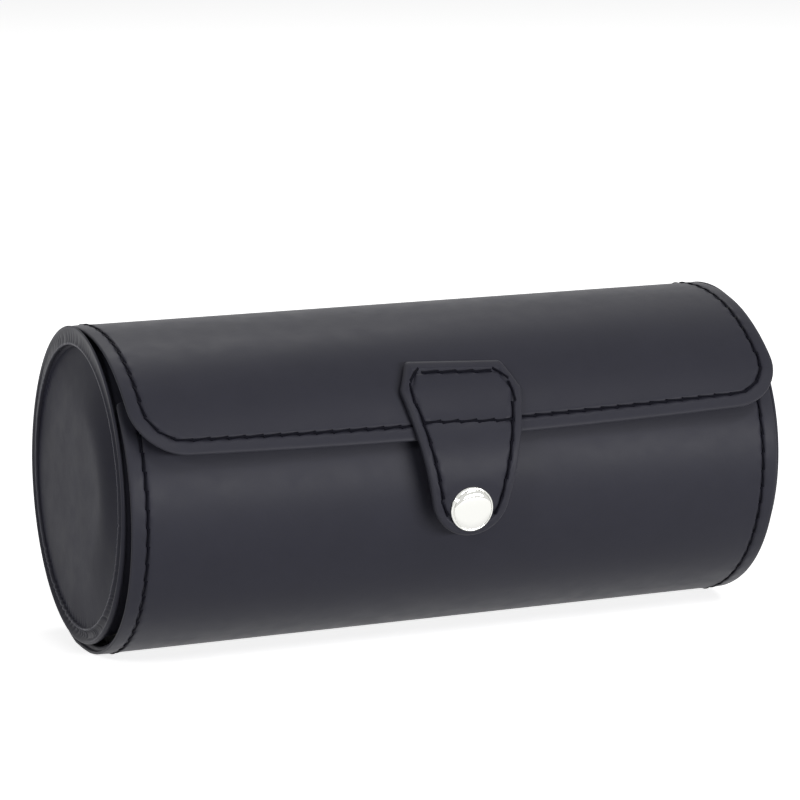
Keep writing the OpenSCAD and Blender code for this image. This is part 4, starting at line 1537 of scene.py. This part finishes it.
class WATCHCASE_OT_boards(bpy.types.Operator):
    """Finish the greyboard and the foam behind the covers"""

    bl_idname = "watchcase.boards"
    bl_label = "Boards and Foam"

    def execute(self, context):
        skins = finishes(context.scene.watch_case)
        for node in ("drum_tube", "wrap_board", "left_divider_board", "right_divider_board"):
            dress(frame["nodes"][node], skins["board"])
        dress(frame["nodes"]["wrap_padding"], skins["padding"])
        return {"FINISHED"}


def white_for(tree):
    """1 for what is seen directly, in a reflection or through glass, 0 for the light that falls."""
    rays = add(tree, "ShaderNodeLightPath").outputs
    seen = rays["Is Camera Ray"]
    for other in ("Is Glossy Ray", "Is Transmission Ray"):
        seen = add(tree, "ShaderNodeMath", {0: seen, 1: rays[other]}, operation="MAXIMUM").outputs["Value"]
    return seen


class WATCHCASE_OT_stage(bpy.types.Operator):
    """Set up the camera, the soft boxes, the floor and the backdrop"""

    bl_idname = "watchcase.stage"
    bl_label = "Stage"

    def execute(self, context):
        scene, stage = context.scene, context.scene.watch_case.stage
        scene.view_settings.view_transform = "Standard"
        self.camera(scene, stage)
        self.floor(stage)
        self.backdrop(scene, stage)
        self.soft_box("Key", (1.05, -2.5, 0.45), (2.0, 0.26), 50)
        self.soft_box("Top", (0.7, -1.7, 2.3), (1.6, 0.3), 22)
        self.soft_box("Left", (-1.3, -0.85, 0.8), (0.3, 0.3), 7)
        self.soft_box("Back", (0.3, 1.0, 1.5), (0.8, 0.5), 7)
        return {"FINISHED"}

    def camera(self, scene, stage):
        az, el = stage.azimuth, stage.elevation
        back = Vector((math.sin(az) * math.cos(el), -math.cos(az) * math.cos(el), math.sin(el)))
        eye = bpy.data.cameras.new("Camera")
        eye.lens, eye.sensor_width = stage.lens, 36
        eye.clip_start, eye.clip_end = 0.05, 20
        camera = bpy.data.objects.new("Camera", eye)
        camera.location = Vector((0, 2.36 * MM, 44.72 * MM)) + back * stage.distance
        look = (-back).to_track_quat("-Z", "Y").to_matrix() @ Matrix.Rotation(stage.aim_up, 3, "X")
        camera.rotation_euler = look.to_euler()
        scene.collection.objects.link(camera)
        scene.camera = camera

    def floor(self, stage):
        floor = bmesh.new()
        bmesh.ops.create_grid(floor, x_segments=1, y_segments=1, size=6)
        bmesh.ops.translate(floor, verts=floor.verts, vec=(0, 0, -0.01 * MM))
        ground = finished("floor", floor, material("White paper", self.paper, stage), smooth=False)

    def backdrop(self, scene, stage):
        """White all round for the eye, and a dim light from all round for everything else."""
        world = bpy.data.worlds.new("Studio")
        scene.world = world
        world.use_nodes = True
        tree = world.node_tree
        tree.nodes.clear()
        lights = [
            add(tree, "ShaderNodeBackground", {"Color": (1, 1, 1, 1), "Strength": strength})
            for strength in (stage.fill, 1)
        ]
        dim, white = (light.outputs["Background"] for light in lights)
        mixed = add(tree, "ShaderNodeMixShader", {"Fac": white_for(tree), 1: dim, 2: white})
        add(tree, "ShaderNodeOutputWorld", {"Surface": mixed.outputs["Shader"]})

    def paper(self, tree, place, stage):
        """Matt white paper, seen as pure white by the eye and by metal but for the case's own shadow."""
        # fibres 0.6 mm apart, far finer than the camera sees
        normal = relief(tree, specks(tree, place, 0.6 * MM, 3), 0.05, 0.05 * MM)
        white = opaque(stage.floor)
        matt = add(tree, "ShaderNodeBsdfDiffuse", {"Color": white, "Normal": normal}).outputs["BSDF"]
        glow = add(tree, "ShaderNodeEmission", {"Color": white, "Strength": stage.glow}).outputs["Emission"]
        both = add(tree, "ShaderNodeAddShader", {0: matt, 1: glow}).outputs["Shader"]
        return add(tree, "ShaderNodeMixShader", {"Fac": white_for(tree), 1: matt, 2: both}).outputs["Shader"]

    def soft_box(self, name, place, size, power):
        """A rectangular soft box that faces the middle of the case."""
        lamp = bpy.data.lights.new(name, "AREA")
        lamp.shape, lamp.energy = "RECTANGLE", power
        lamp.size, lamp.size_y = size
        made = bpy.data.objects.new(name, lamp)
        made.location = place
        made.rotation_euler = (Vector((0, 0, AXIS_Z)) - Vector(place)).to_track_quat("-Z", "Y").to_euler()
        bpy.context.scene.collection.objects.link(made)


# --- panel --------------------------------------------------------------------------------------

STEPS = [
    WATCHCASE_OT_stage,
    WATCHCASE_OT_flap_skin,
    WATCHCASE_OT_wrap_skin,
    WATCHCASE_OT_tab_skin,
    WATCHCASE_OT_ends,
    WATCHCASE_OT_stitches,
    WATCHCASE_OT_snap,
    WATCHCASE_OT_lining,
    WATCHCASE_OT_pillows,
    WATCHCASE_OT_boards,
]


class WATCHCASE_PT_panel(bpy.types.Panel):
    """Sizes, colours and the steps that make the case"""

    bl_idname = "WATCHCASE_PT_panel"
    bl_label = "Watch Case"
    bl_space_type = "VIEW_3D"
    bl_region_type = "UI"
    bl_category = "Watch Case"

    def draw(self, context):
        case = context.scene.watch_case
        for step in STEPS:
            self.layout.operator(step.bl_idname)
        for name, group in PANELS.items():
            box = self.layout.box()
            box.label(text=name.capitalize())
            for prop in group.__annotations__:
                box.prop(getattr(case, name), prop)


CLASSES = [*PANELS.values(), WatchCase, *STEPS, WATCHCASE_PT_panel]


def register():
    for made in CLASSES:
        bpy.utils.register_class(made)
    bpy.types.Scene.watch_case = PointerProperty(type=WatchCase)


def unregister():
    del bpy.types.Scene.watch_case
    for made in reversed(CLASSES):
        bpy.utils.unregister_class(made)


def main():
    register()
    for step in STEPS:
        group, call = step.bl_idname.split(".")
        getattr(getattr(bpy.ops, group), call)()


if __name__ == "__main__":
    main()
